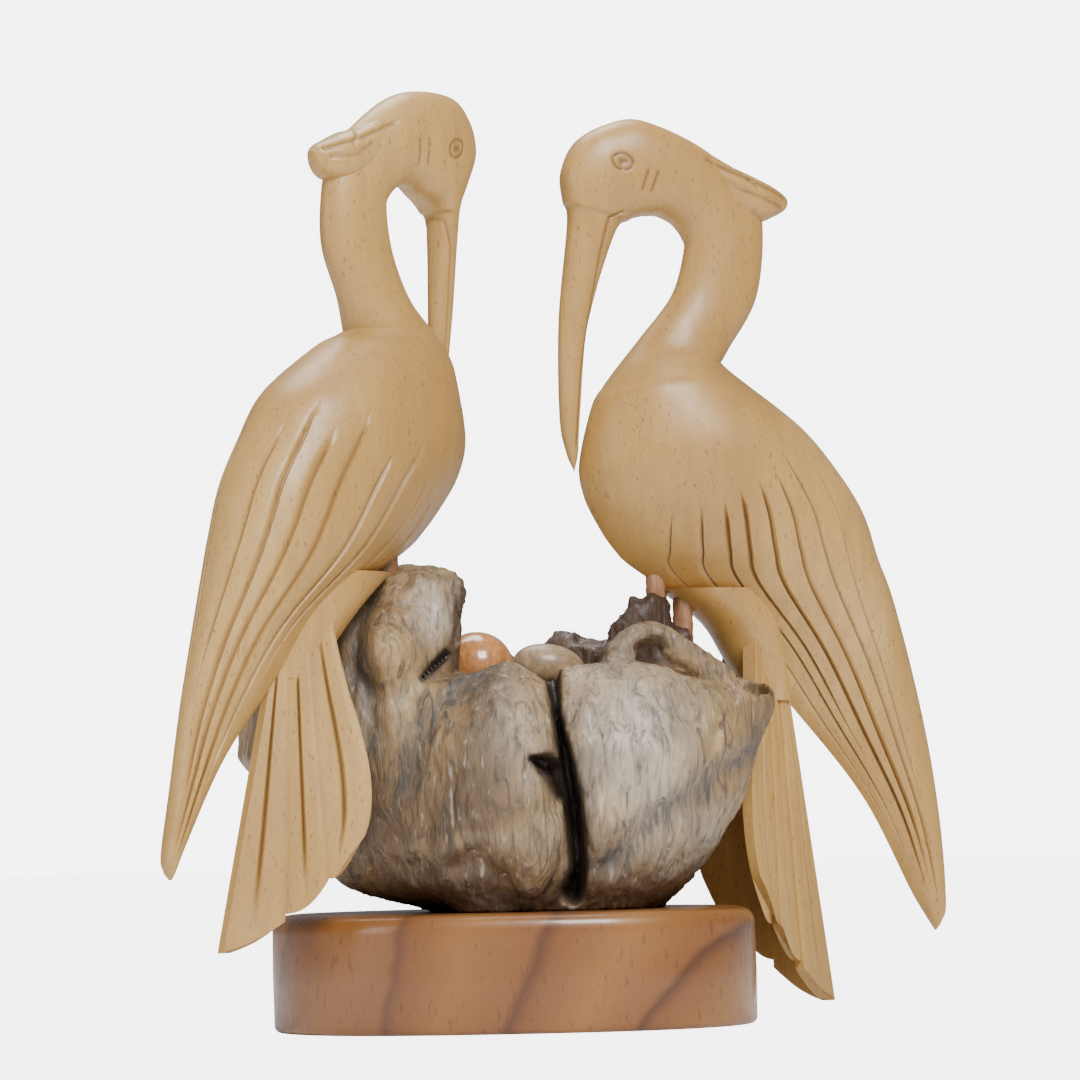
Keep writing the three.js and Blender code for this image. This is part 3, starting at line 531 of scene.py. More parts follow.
def crest_part(bird):
    t = np.linspace(0, 5, 61)
    tx, tz, ux, uz = through(bird["crest"])(t).T
    width = through([(w,) for w in CREST_WIDTHS])(t)[:, 0]
    angles = np.arange(0, 360, 4.5)
    x, y = section_point(angles[None, :], width[:, None], 0, 0.75)
    rings = np.stack([((tx + ux) / 2)[:, None] + ((tx - ux) / 2)[:, None] * x, y,
                      ((tz + uz) / 2)[:, None] + ((tz - uz) / 2)[:, None] * x], -1)
    # painted shade darkens the crest's grooves
    rings, shade_and_ink = engraved(rings, np.zeros(rings.shape[:2]), bird["marks"])
    tuft, faces = closed_rings(rings)
    return mesh_piece("crest", tuft, faces, {"shade_and_ink": np.append(shade_and_ink.reshape(-1), [0, 0])})


def rump_part(bird):
    back, front, z, half = through(bird["rump"])(np.linspace(0, 3, 13)).T
    angles = np.radians(np.arange(0, 360, 9))
    rings = np.stack([front[:, None] + (back - front)[:, None] * (1 + np.cos(angles)) / 2,
                      half[:, None] * np.sin(angles), np.repeat(z[:, None], len(angles), 1)], -1)
    return mesh_piece("rump", *closed_rings(rings))


# the tail: a roof of two slabs that meet at a ridge, each of three stepped feathers
TAIL = {
    "angle": 40, "width": 26.4, "ridge_flat": 0.9, "step": 0.9, "overlap": 1.2, "groove": 0.75,
    "thick_top": 3.6, "thick_end": 2.4}
TAIL_EDGE = through([(0.4,), (0.52,), (0.66,), (0.82,), (0.95,), (1,), (0.93,)])


def tail_edge(t):
    return TAIL["width"] * TAIL_EDGE(np.clip(t / 0.76, 0, 1) * 6)[..., 0]


def first_seam(t):
    share = smooth(t * 1.02) * 0.5 + t * 0.5
    return TAIL["width"] * (0.13 + 0.37 * share)


def second_seam(t):
    return TAIL["width"] * (0.22 + 0.68 * np.clip(t, 0, 1))


FEATHERS = [
    {"inner": lambda t: 0 * t, "outer": first_seam, "ends": (1, 0.915), "bulge": 0.012, "drop": 0},
    {"inner": first_seam, "outer": second_seam, "ends": (0.895, 0.8), "bulge": 0.03, "drop": TAIL["step"]},
    {"inner": second_seam, "outer": tail_edge, "ends": (0.785, 0.68), "bulge": 0.055, "drop": TAIL["step"]}]


def feather_part(feather, ridge, side):
    top_x, top_z, tip_x, tip_z = ridge
    c, s = math.cos(math.radians(TAIL["angle"])), math.sin(math.radians(TAIL["angle"]))
    first = feather["drop"] == 0

    def place(t, across, height):
        x = top_x + (tip_x - top_x) * t + across * c - height * s
        y = side * (across * s + height * c)
        return np.stack([x, y, top_z + (tip_z - top_z) * t], -1)
    share = np.array([
        0, 0.02, 0.1, 0.2, 0.3, 0.4, 0.44, 0.47, 0.5, 0.53, 0.56, 0.6, 0.7, 0.8, 0.9, 0.97, 1])
    cut = np.interp(share, (0.44, 0.5, 0.56), (0, 1, 0), 0, 0)
    rings, groove_and_seam_shade = [], []
    for row in np.linspace(0, 1, 41):
        thick = TAIL["thick_top"] + (TAIL["thick_end"] - TAIL["thick_top"]) * row
        end = feather["ends"][0] + (feather["ends"][1] - feather["ends"][0]) * share \
            + feather["bulge"] * np.sin(np.pi * share)
        t = row * end
        across = feather["inner"](t) * (1 - share) + feather["outer"](t) * share
        if first:
            # the top begins at the flat along the ridge and doesn't fold back over it
            across = np.maximum(across, TAIL["ridge_flat"] / s * (1 + 0.2 * share))
        else:
            across = across - TAIL["overlap"] * (1 - share)
        groove = TAIL["groove"] * cut * smooth(row * 3) * smooth((1 - row) * 4)
        height = -feather["drop"] * (1 - share) - groove - 0.35 * np.maximum(share - 0.93, 0) / 0.07
        top = place(t, across, height)
        nearest = thick * c / s if first else across[0]
        low = nearest + (max(across[-1], nearest + 0.4) - nearest) * share
        under = place(t, low, -thick + 0 * t)
        if first:
            edge =np.array([[top[0][0], -side * 0.2, top[0][2]]])
            top = np.vstack([edge, top])
            ridge_x, _, ridge_z = place(t[:1], np.zeros(1), np.zeros(1))[0]
            under[0] = (ridge_x + thick / s, -side * 0.2, ridge_z)
        rings.append(np.vstack([top, under[::-1]]))
        # painted shade along the feather's groove, and painted shadow along its inner seam under the edge of
        # the feather above
        line = np.maximum(groove / TAIL["groove"], 0.6 * (share < 0.03) * (not first))
        groove_and_seam_shade += ([0] if first else []) + list(line) + [0] * len(under)
    feather_skin, faces = closed_rings(rings)
    return mesh_piece("feather", feather_skin, faces, {"shade_and_ink": np.append(groove_and_seam_shade, [0, 0])})


def joined(name, first, others):
    """One closed skin around all the parts"""
    for index, other in enumerate(others):
        step = first.modifiers.new(f"join{index}", "BOOLEAN")
        step.operation = "UNION"
        step.solver = "MANIFOLD"
        step.object = other
    mesh = bpy.data.meshes.new_from_object(first.evaluated_get(bpy.context.evaluated_depsgraph_get()))
    for spare in [first] + others:
        bpy.data.objects.remove(spare)
    mesh.name = name
    piece = bpy.data.objects.new(name, mesh)
    bpy.context.collection.objects.link(piece)
    return piece


def crane_wood():
    wood = Finish("crane wood, satin", 0.40, coat=0.2, coat_roughness=0.3)
    broad = wood.noise(wood.mapped((28, 28, 10)), 1.0, 4, 0.55, 0.4)
    tone = wood.ramp(broad, [
        (0.25, (0.37, 0.195, 0.046)), (0.5, (0.48, 0.275, 0.073)), (0.8, (0.60, 0.375, 0.125))])
    fine = wood.noise(wood.mapped((420, 420, 60)), 1.0, 3, 0.6)
    tone = wood.blend(wood.level(fine, 0.35, 0.75, 0, 0.45), tone, (0.33, 0.16, 0.05))
    pores = wood.noise(wood.mapped((1900, 1900, 650)), 1.0, 1, 0.5)
    fleck = wood.level(pores, 0.64, 0.74)
    tone = wood.blend(wood.math("MULTIPLY", fleck, 0.6), tone, (0.17, 0.075, 0.024))
    # painted shade in the cuts and in the feathers' grooves and seams, and ink in the pupils, darken the wood
    shade_and_ink = wood.attribute("shade_and_ink")
    wood.colour(wood.blend(wood.math("MULTIPLY", shade_and_ink, 0.8), tone, (0.10, 0.038, 0.010)))
    wood.roughness(wood.level(fine, 0.2, 0.8, 0.36, 0.52))
    wood.bump(fleck, -0.2, 0.00015)
    wood.bump(fine, 0.12, 0.0002)
    return wood.material


honey_wood = crane_wood()
cranes = []
for bird in BIRDS:
    parts = [feather_part(feather, bird["ridge"], side) for side in (-1, 1) for feather in FEATHERS]
    crane = joined(bird["name"] + "_carving", ladder_skin(bird), [crest_part(bird), rump_part(bird)] + parts)
    stand = Matrix.Translation(Vector(bird["stand"]) * MM)
    crane.data.transform(stand @ Matrix.Rotation(math.radians(bird["facing"]), 4, "Z"))
    crane.data.materials.clear()
    crane.data.materials.append(honey_wood)
    crane.data.shade_smooth()
    crane.data.set_sharp_from_angle(angle=math.radians(38))
    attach(crane, "root")
    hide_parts(bird["name"])
    cranes.append(crane)

# Burl: a weathered, hollow root stock, left as it grew and sealed with a thin matt varnish. Its body is set
# out by directions round the nest. Limbs, hollows and clefts join the solid before it is skinned, and fibres
# ripple the skin afterwards.

NEST = (2.5, 3.0)
BURL_HEIGHTS = (24.5, 29, 37, 47, 57, 66)
# direction, outer radii at the heights above, rim radius, rim height, mouth radius, mouth height
BURL_BODY = np.array([
    (8, 28, 33, 38, 42, 44, 43.5, 39, 75, 25, 77), (20, 28, 33, 37, 40, 41, 40, 35, 78, 24, 78),
    (38, 27, 33, 36, 38, 38, 37, 31, 80.5, 24, 79), (58, 27, 34, 38, 40, 40, 38, 30, 82, 23, 80.5),
    (72, 27, 34, 38, 40, 40, 38, 30, 84, 23, 81), (90, 26, 34, 38, 40, 41, 39, 30, 79.8, 23, 79),
    (104, 25, 34, 39, 41, 42, 40, 31, 81.5, 23, 80), (125, 23, 34, 40, 44, 45, 43, 34, 79, 24, 79),
    (150, 20, 34, 42, 48, 52, 50, 39, 81, 25, 82), (176, 18, 36, 44, 52.5, 60.5, 60, 51, 75, 24, 84),
    (200, 19, 38, 44, 50, 53, 52, 43, 82, 24, 84), (218, 21, 37, 41, 44, 45.5, 44, 36, 84, 23, 82),
    (232, 24, 35, 38.5, 40, 39, 37, 31, 74, 22, 76), (247, 30, 34, 38, 39, 38.5, 36, 29, 74.5, 21, 74),
    (262, 31, 33, 38, 39, 38.5, 36, 28, 76.4, 21, 75), (274, 30, 33, 38, 39, 38, 35, 27, 74, 21, 73),
    (283, 28, 31, 33, 34, 35, 32, 26, 72, 20.5, 72), (291, 30, 34, 36, 38, 38, 34.5, 26, 74.5, 21, 73.6),
    (305, 31, 35, 39, 41, 41, 37.5, 28, 75.6, 22, 74.6), (325, 30, 36, 41, 44, 45, 42.5, 34, 74.6, 24, 73.6),
    (340, 28, 35, 42, 46.5, 48, 48, 42, 71.5, 25, 74),
    (353, 28, 34, 41, 47, 51, 54, 52.5, 70.8, 25, 76)], float)
# limbs: x, y, z, half width, half thickness, twist
LIMBS = [
    (True, [(-25, -12, 58, 15, 14, 0), (-24.5, -12.5, 70, 14.2, 13, 10),
            (-23.8, -12.5, 80, 13.6, 12, 20), (-21.6, -10.6, 87, 12, 10.6, 25),
            (-18.6, -9.5, 91.4, 9.4, 8.6, 25), (-21, -4.5, 95.4, 4.2, 3.6, 25)]),
    (True, [(-14, -14, 80, 3.4, 5, 0), (-12.6, -15, 87, 3.2, 5, 10), (-11.4, -15, 92, 2.6, 4.4, 15)]),
    (True, [(-25.5, -20, 70, 5, 4.5, 0), (-24.5, -22.5, 78, 6.6, 5.6, 0), (-24.5, -20, 85, 5, 4, 0)]),
    (False, [(21, 0, 64, 7, 6, 0), (23.8, 3, 74, 6, 5, 15), (26.5, 7, 81, 5.6, 4.6, 35),
             (29.4, 9.6, 85, 6, 4, 55), (31, 11.8, 88.2, 2.8, 2.6, 80)]),
    (False, [(29, 8, 74, 6, 5, 0), (33, 12, 79, 5, 4.4, 20), (37, 14, 79.2, 3.4, 2.8, 30)]),
    (False, [(20.5, -15, 71, 3, 2.6, 0), (23.6, -13, 77.5, 2.3, 2.4, 0), (29.4, -11, 81.6, 2.4, 2.6, 0),
             (36.4, -9, 77.8, 2.8, 3, 0), (43, -7, 72.6, 3.4, 3.4, 0), (49, -5, 67, 4, 4, 0)]),
    (False, [(4, -30, 42, 6, 5, 0), (3.8, -31, 35, 5, 4, 0), (3.6, -30.6, 28.6, 2.2, 2.2, 0)])]
HOLLOWS = [(50.5, -4, 69.5, 4.2, 5.5, 5.5), (29.6, -15, 78, 4.8, 9, 2.8), (-13, -25, 76.6, 1.6, 4, 2.4)]
# clefts seen from the front: x, z and half width along the line, then depth
CLEFTS = [
    ([(9.2, 78, 1.6), (9.2, 72, 1.5), (9.7, 66, 1.1), (10.6, 60, 1.2), (11.8, 54, 1.5), (12.6, 48, 1.9),
      (13.4, 40, 2.0), (13.6, 33, 2.0), (12.5, 28, 2.6)], 8.0),
    ([(4.6, 55.5, 0.8), (6.6, 54.6, 2.2), (9.6, 52.5, 2.8), (10.8, 49, 2.2)], 6.5),
    ([(-17.6, 72.6, 0.5), (-15.4, 75.0, 0.9), (-12.7, 77.6, 1.0)], 5.0)]
# soft valleys seen from the front: x, z, half width, depth
VALLEYS = [
    [(-2, 77.5, 2, 0.8), (-5.5, 74.5, 3, 1.6), (-9.8, 70, 3.4, 2.0), (-15, 65, 3.2, 1.8), (-18.5, 59, 3, 1.3),
     (-20.5, 51, 3, 0.6)],
    [(-27.5, 91, 1.2, 1.2), (-30.6, 83, 1.8, 1.8), (-31.2, 76, 2.0, 2.0), (-28.6, 70, 2.2, 1.7),
     (-28, 63, 2.6, 1.2), (-31, 54, 3, 0.8)],
    [(51, 57, 2, 0.5), (43, 52, 2.6, 1.2), (34, 46, 3, 1.7), (27, 40.5, 3, 1.8), (20, 34.5, 2.6, 1.6)],
    [(-12, 34, 2, 1.2), (-6, 35.5, 2.4, 1.8), (-1.6, 32, 2.2, 1.6)],
    [(43.6, 62, 0.7, 1.2), (42.4, 58, 0.9, 1.6), (41.5, 55.5, 0.6, 1)],
    [(-13, 90, 0.7, 1.0), (-12.4, 84, 0.8, 1.4), (-12, 79, 0.7, 0.8)],
    [(-11, 91, 0.5, 0.8), (-10.4, 85, 0.6, 1.2), (-10.6, 80, 0.5, 0.8)],
    [(24, 70, 3, 0.7), (22, 60, 3.5, 0.9), (21, 50, 3, 0.5)],
    [(37, 68, 2.4, 0.5), (35.5, 58, 3, 1.0), (31, 49, 2.4, 0.4)]]
SWELLINGS = [
    [(16, 44.5, 1.6, 0.8), (17.2, 40, 2.2, 1.8), (18, 35.5, 1.8, 1.2)],
    [(-24.5, 85, 3.5, 0.4), (-24.5, 79, 4.4, 1.4), (-24.5, 73, 3.6, 0.4)],
    [(-1, 66, 7, 1.2), (-3, 55, 8, 1.0), (2, 40, 6, 1.4)]]
VOXEL = 0.68
LOW, SIZE = np.array([-63.0, -42.0, 22.5]), np.array([125.0, 92.0, 77.0])
rng = np.random.default_rng(17)
LATTICE = rng.random((48, 48, 48)).astype(np.float32)


def noise_at(points, cell, shift=0.0):
    p = np.asarray(points, np.float32) / cell + shift + 100
    i = np.floor(p).astype(np.int64)
    f = p - i
    f = f * f * (3 - 2 * f)
    total = np.zeros(p.shape[:-1], np.float32)
    for dx in (0, 1):
        for dy in (0, 1):
            for dz in (0, 1):
                weight = ((f[..., 0] if dx else 1 - f[..., 0]) * (f[..., 1] if dy else 1 - f[..., 1])
                          * (f[..., 2] if dz else 1 - f[..., 2]))
                total += weight * LATTICE[(i[..., 0] + dx) % 48, (i[..., 1] + dy) % 48, (i[..., 2] + dz) % 48]
    return total * 2 - 1


def soft_max(a, b, k):
    h = np.clip(0.5 + (a - b) / (2 * k), 0, 1)
    return b + (a - b) * h + k * h * (1 - h)


def soft_min(a, b, k):
    return -soft_max(-a, -b, k)


def burl_solid():
    counts = (SIZE / VOXEL).astype(int)
    gx, gy, gz = [LOW[k] + VOXEL * np.arange(counts[k]) for k in range(3)]
    rows = np.vstack([BURL_BODY + np.array([360 * lap] + [0] * 10) for lap in (-1, 0, 1)])
    fine = through(rows)(np.arange(0, len(rows) - 1, 0.0625))
    heading = np.arange(0, 360, 1.0)
    table = np.stack([np.interp(heading, fine[:, 0], fine[:, k]) for k in range(11)], 1)
    outer = np.zeros((360, len(gz)))
    for i, row in enumerate(table):
        levels = list(BURL_HEIGHTS) + [66 + (row[8] - 66) * 0.6, row[8]]
        radii = list(row[1:7]) + [(row[6] + row[7]) / 2 + 0.8, row[7]]
        outer[i] = np.interp(gz, levels, radii)
    kernel = np.hanning(9)[1:-1]
    kernel /= kernel.sum()
    padded = np.pad(outer, ((0, 0), (3, 3)), "edge")
    outer = sum(kernel[k] * padded[:, k:k + len(gz)] for k in range(7))

    X, Y = np.meshgrid(gx, gy, indexing="ij")
    dx, dy = X - NEST[0], Y - NEST[1]
    r = np.hypot(dx, dy)
    turn = np.degrees(np.arctan2(dy, dx)) % 360
    low = turn.astype(int) % 360
    part = (turn - np.floor(turn))[..., None]
    radius = outer[low] * (1 - part) + outer[(low + 1) % 360] * part
    row = table[low] * (1 - part) + table[(low + 1) % 360] * part
    rim, rim_z, mouth, mouth_z = row[..., 7], row[..., 8], row[..., 9], row[..., 10]
    inner = np.minimum(mouth, rim - 3.4)
    share = np.clip((r - inner) / (rim - 2.8 - inner), 0, 1)
    top = mouth_z - 0.8 + (rim_z + 0.5 - mouth_z) * share
    floor = 68.5 + 0.22 * np.clip(X - NEST[0], -12, 9)
    Z = gz[None, None, :]
    above = Z - floor[..., None]
    hollow_r = np.interp(above, (0, 3.6, 8), (-5, -1.2, 0)) + inner[..., None]
    hollow = soft_max(r[..., None] - hollow_r, -above, 2.5)
    solid = soft_max((r[..., None] - radius) * 0.85, Z - top[..., None], 1.6)
    solid = soft_max(solid, -hollow * 0.9, 1.2)

    P = np.stack(np.broadcast_arrays(X[..., None], Y[..., None], Z), -1).astype(np.float32)
    for level, limb in LIMBS:
        path = through(limb)
        whole = np.full(solid.shape, 50.0)
        steps = np.linspace(0, len(limb) - 1, 8 * (len(limb) - 1) + 1)
        spots = path(steps)
        for t, (x, y, z, wide, thick, twist) in zip(steps, spots):
            ahead = path(np.array(min(t + 0.1, len(limb) - 1)))[:3] - path(np.array(max(t - 0.1, 0)))[:3]
            along = np.array([0, 0, 1.0]) if level else ahead / np.linalg.norm(ahead)
            across = np.cross((0, 1, 0), along)
            across /= np.linalg.norm(across)
            out = np.cross(along, across)
            c, s = math.cos(math.radians(twist)), math.sin(math.radians(twist))
            axes = np.stack([(across * c + out * s) / wide, (-across * s + out * c) / thick,
                             along / max(min(wide, thick) * 0.5, 1.6)])
            reach = max(wide, thick) + 4
            nearest = np.maximum((np.array((x, y, z)) - reach - LOW) / VOXEL, 0).astype(int)
            farthest = ((np.array((x, y, z)) + reach - LOW) / VOXEL).astype(int) + 2
            box = tuple(slice(a, b) for a, b in zip(nearest, farthest))
            q = (P[box] - np.array([x, y, z], np.float32)) @ axes.T.astype(np.float32)
            lump = (np.linalg.norm(q, axis=-1) - 1) * min(wide, thick)
            whole[box] = soft_min(whole[box], lump, 0.5)
        solid = soft_min(solid, whole, 1.8)
    for x, y, z, a, b, c in HOLLOWS:
        q = (P - np.array([x, y, z], np.float32)) / np.array([a, b, c], np.float32)
        solid = soft_max(solid, -(np.linalg.norm(q, axis=-1) - 1) * min(a, b, c), 0.6)

    # where the front is first met, looking along +Y
    first = np.argmax(solid < 0, axis=1)
    front = np.where((solid < 0).any(axis=1), gy[first], 1e3)
    XZ = np.stack(np.meshgrid(gx, gz, indexing="ij"), -1)
    depth = Y[..., None] - front[:, None, :]
    facing = (depth < 16) & (Y[..., None] < 4)
    for rows, amount in [(rows, 1) for rows in SWELLINGS] + [(rows, -1) for rows in VALLEYS]:
        far, values = chain_distance(XZ, rows)
        push = amount * values[..., 1] * np.exp(-(far / values[..., 0]) ** 2)
        solid = solid - push[:, None, :] * facing * np.clip(1 - depth / 12, 0, 1)
    for rows, deep in CLEFTS:
        far, values = chain_distance(XZ, rows)
        wide = values[..., 0][:, None, :] * np.clip(1.1 - np.clip(depth, 0, None) / deep, 0.05, 1.1)
        slot = np.where(facing, soft_max(far[:, None, :] - wide, depth - deep, 0.5), 9.0)
        solid = soft_max(solid, -slot, 0.7)

    near = np.abs(solid) < 3
    P = P[near]
    lumps = 0.9 * noise_at(P, 13.0) + 0.55 * noise_at(P, 6.0, 7.3)
    streak = noise_at(P * np.array([1, 1, 0.22], np.float32) + 1.5 * noise_at(P, 9.0, 3.1)[:, None], 2.2, 5.0)
    ragged = smooth((P[:, 2] - np.where(P[:, 1] > 0, 74, 86)) / 6) * noise_at(P * (1, 1, 0.6), 2.6, 11.0)
    solid[near] += lumps + 0.28 * streak + 1.3 * ragged
    return soft_max(solid, 24.3 - np.broadcast_to(Z, solid.shape), 0.3)


def burl_skin():
    grid = openvdb.FloatGrid(3.0)
    grid.copyFromArray(np.clip(burl_solid(), -3, 3).astype(np.float32))
    points, quads = grid.convertToQuads(isovalue=0.0)
    points = points.astype(float) * VOXEL + LOW
    corners = points[quads]
    flat = np.cross(corners[:, 2] - corners[:, 0], corners[:, 3] - corners[:, 1])
    normals = np.zeros_like(points)
    for k in range(4):
        np.add.at(normals, quads[:, k], flat)
    normals /= np.linalg.norm(normals, axis=1, keepdims=True) + 1e-9
    if (corners[:, 0] * flat).sum() < 0:
        normals = -normals
    return points, quads, normals


# patches of colour seen from the front: x, z, half width, half height, strength
# pale weathered wood, partly painted highlight where light falls on the right lobe and on the left column's
# face
PALE_AND_LIT = [
    (26, 58, 11, 15, 0.8), (40, 40, 9, 8, 0.3), (-15, 86, 4, 6, 0.7), (2, 60, 7, 9, 0.35)]
TAN = [
    (44, 56, 7, 13, 0.8), (33, 72, 10, 5, 0.5), (-24, 78, 8, 9, 0.7), (-18, 60, 7, 14, 0.6),
    (6, 66, 5, 6, 0.6), (5, 31, 4, 4, 0.8), (21, 42, 4, 6, 0.6)]
# painted shade at the lower left, along the bottom and up the left edge
SHADE = [
    (-30, 45, 20, 16, 0.9), (-12, 32, 26, 8, 0.9), (-36, 76, 6, 22, 0.8), (30, 31, 18, 6, 0.7)]


def patches(points, spots):
    total = np.zeros(len(points))
    for x, z, wide, high, strength in spots:
        spread = ((points[:, 0] - x) / wide) ** 2 + ((points[:, 2] - z) / high) ** 2
        total = np.maximum(total, strength * np.exp(-spread))
    return total * (points[:, 1] < 12)


def burl_values(points):
    """Fibre ripples, and how dark and how grey each spot is"""
    warp = np.stack([noise_at(points, 11.0, s) for s in (1.7, 4.9, 8.2)], 1) * 5
    flow = (points + warp) * (1, 1, 0.16)
    fibre = 0.6 * noise_at(flow, 0.9, 2.0) + 0.4 * noise_at(flow, 0.45, 9.0)
    front = points[:, 1] < 6
    XZ = points[:, [0, 2]]
    # painted shade: the clefts on the front are darkened along their lines
    dark = np.zeros(len(points))
    for rows, _ in CLEFTS:
        far, values = chain_distance(XZ, rows)
        dark =np.maximum(dark, front * np.exp(-(far / (values[:, 0] + 0.35)) ** 4))
    grey = np.zeros(len(points))
    for rows in VALLEYS[:3]:
        far, values = chain_distance(XZ, rows)
        grey = np.maximum(grey, front * np.exp(-(far / (values[:, 0] * 1.1)) ** 2))
    return fibre, dark, grey


def burl_wood():
    wood = Finish("burl wood, thin matt varnish", 0.5, coat=0.15, coat_roughness=0.3)
    wide = wood.noise(wood.mapped((55, 55, 40)), 1.0, 3, 0.55, 0.6)
    tone = wood.ramp(wide, [
        (0.3, (0.085, 0.048, 0.02)), (0.45, (0.205, 0.125, 0.056)), (0.58, (0.34, 0.232, 0.118)),
        (0.8, (0.46, 0.355, 0.225))])
    tone = wood.blend(wood.attribute("tan"), tone, wood.blend(wide, (0.36, 0.21, 0.075), (0.60, 0.40, 0.18)))
    # pale weathered wood, with painted highlight on the right lobe and the left column's face
    tone = wood.blend(wood.attribute("pale"), tone, wood.blend(wide, (0.40, 0.34, 0.26), (0.72, 0.65, 0.54)))
    # painted shade: a dark brown laid over the shade patches
    deep = wood.blend(wide, (0.05, 0.028, 0.013), (0.17, 0.10, 0.052))
    tone = wood.blend(wood.attribute("shade"), tone, deep)
    streaks = wood.noise(wood.mapped((420, 420, 90), turn=(0.1, 0.25, 0)), 1.0, 5, 0.65, 1.2)
    tone = wood.blend(wood.level(streaks, 0.46, 0.68, 0, 0.85), tone, (0.05, 0.036, 0.025))
    pale = wood.noise(wood.mapped((900, 900, 200), turn=(0.2, 0.4, 0)), 1.0, 2, 0.5)
    tone = wood.blend(wood.level(pale, 0.62, 0.78, 0, 0.5), tone, (0.66, 0.58, 0.47))
    grey = wood.math("MULTIPLY", wood.attribute("grey"), wood.level(streaks, 0.35, 0.65, 0.45, 1.0))
    tone = wood.blend(grey, tone, (0.055, 0.055, 0.058))
    # one dark colour for the bark and for the painted shade inside the hollow and under the bottom
    bark_and_shade = wood.blend(pale, (0.016, 0.008, 0.005), (0.085, 0.04, 0.02))
    tone = wood.blend(wood.attribute("bark_and_shade"), tone, bark_and_shade)
    # painted shade darkens the clefts
    wood.colour(wood.blend(wood.attribute("dark"), tone, (0.022, 0.012, 0.008)))
    wood.roughness(wood.level(streaks, 0.3, 0.7, 0.36, 0.62))
    wood.bump(streaks, 0.8, 0.0008)
    return wood.material


points, quads, normals = burl_skin()
fibre, dark, grey = burl_values(points)
x, y, z = points.T
# bark on the back rim and round a root; painted shade inside the hollow and on the down-facing bottom
back_rim = smooth((z - 72) / 5) * (y > 2) * (np.hypot(x - 2.5, y - 3) > 17)
root = smooth((8.5 - chain_distance(points, [row[:3] for row in LIMBS[3][1]])[0]) / 2) * smooth((z - 72) / 4)
hollow_shade = smooth((27 - np.hypot(x - 2.5, y - 3)) / 3) * smooth((z - 62) / 3) * (normals[:, 2] < 0.6)
underside_shade = smooth((34 - z) / 8) * smooth((-normals[:, 2] + 0.1) / 0.6)
bark_and_shade = np.clip(np.maximum.reduce([0.9 * back_rim, root, 0.75 * hollow_shade, 0.8 * underside_shade]), 0, 1)
amount = 0.32 + 0.3 * bark_and_shade
points = points + normals * (fibre * amount)[:, None]
tints = {"dark": dark, "grey": 0.85 * grey, "bark_and_shade": bark_and_shade, "pale": patches(points, PALE_AND_LIT),
         "tan": patches(points, TAN), "shade": patches(points, SHADE)}
burl = mesh_piece("burl_wood_body", points, quads.tolist(), tints)
burl.data.materials.append(burl_wood())
burl.data.shade_smooth()
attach(burl, "root")
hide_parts("burl_nest")

# Eggs: two turned eggs loose in the nest. The round one is polished orange-brown wood, the long one lies on
# its side and is darker, grey-brown and duller.


def egg_tree():
    tree, given, result = new_tree("turned egg", [
        ("Length", "NodeSocketFloat", 0.016), ("Radius", "NodeSocketFloat", 0.008),
        ("Blunt", "NodeSocketFloat", 0.05), ("Wobble", "NodeSocketFloat", 0.0002),
        ("Material", "NodeSocketMaterial", None)])
    link = tree.links.new
    ball = tree.nodes.new("GeometryNodeMeshUVSphere")
    ball.inputs["Segments"].default_value = 96
    ball.inputs["Rings"].default_value = 64
    ball.inputs["Radius"].default_value = 1
    place = tree.nodes.new("GeometryNodeInputPosition")
    split = tree.nodes.new("ShaderNodeSeparateXYZ")
    link(place.outputs[0], split.inputs[0])
    noise = tree.nodes.new("ShaderNodeTexNoise")
    noise.inputs["Scale"].default_value = 1.3
    link(place.outputs[0], noise.inputs["Vector"])
    centred = math_node(tree, "SUBTRACT", noise.outputs[0], 0.5)
    drift = math_node(tree, "MULTIPLY", centred, given.outputs["Wobble"])
    tapering = math_node(tree, "MULTIPLY", split.outputs[2], given.outputs["Blunt"])
    fuller = math_node(tree, "SUBTRACT", 1.0, tapering)
    radius = math_node(tree, "ADD", math_node(tree, "MULTIPLY", given.outputs["Radius"], fuller), drift)
    point = tree.nodes.new("ShaderNodeCombineXYZ")
    link(math_node(tree, "MULTIPLY", split.outputs[0], radius), point.inputs[0])
    link(math_node(tree, "MULTIPLY", split.outputs[1], radius), point.inputs[1])
    half = math_node(tree, "MULTIPLY", given.outputs["Length"], 0.5)
    link(math_node(tree, "MULTIPLY", split.outputs[2], half), point.inputs[2])
    move = tree.nodes.new("GeometryNodeSetPosition")
    link(ball.outputs[0], move.inputs["Geometry"])
    link(point.outputs[0], move.inputs["Position"])
    return finish_tree(tree, given, result, move.outputs[0])


def egg_wood(name, light, deep, roughness, coat):
    wood = Finish(name, roughness, coat=coat, coat_roughness=0.12)
    rings = wood.noise(wood.mapped((900, 160, 500), turn=(0.3, 0.2, 0.5)), 1.0, 4, 0.6, 0.5)
    tone = wood.blend(wood.level(rings, 0.3, 0.7), light, deep)
    pores = wood.noise(wood.mapped((2200, 500, 2200), turn=(0.3, 0.2, 0.5)), 1.0, 1)
    wood.colour(wood.blend(wood.level(pores, 0.62, 0.74, 0, 0.55), tone, tuple(0.3 * c for c in deep)))
    wood.bump(pores, 0.1, 0.0001)
    return wood.material


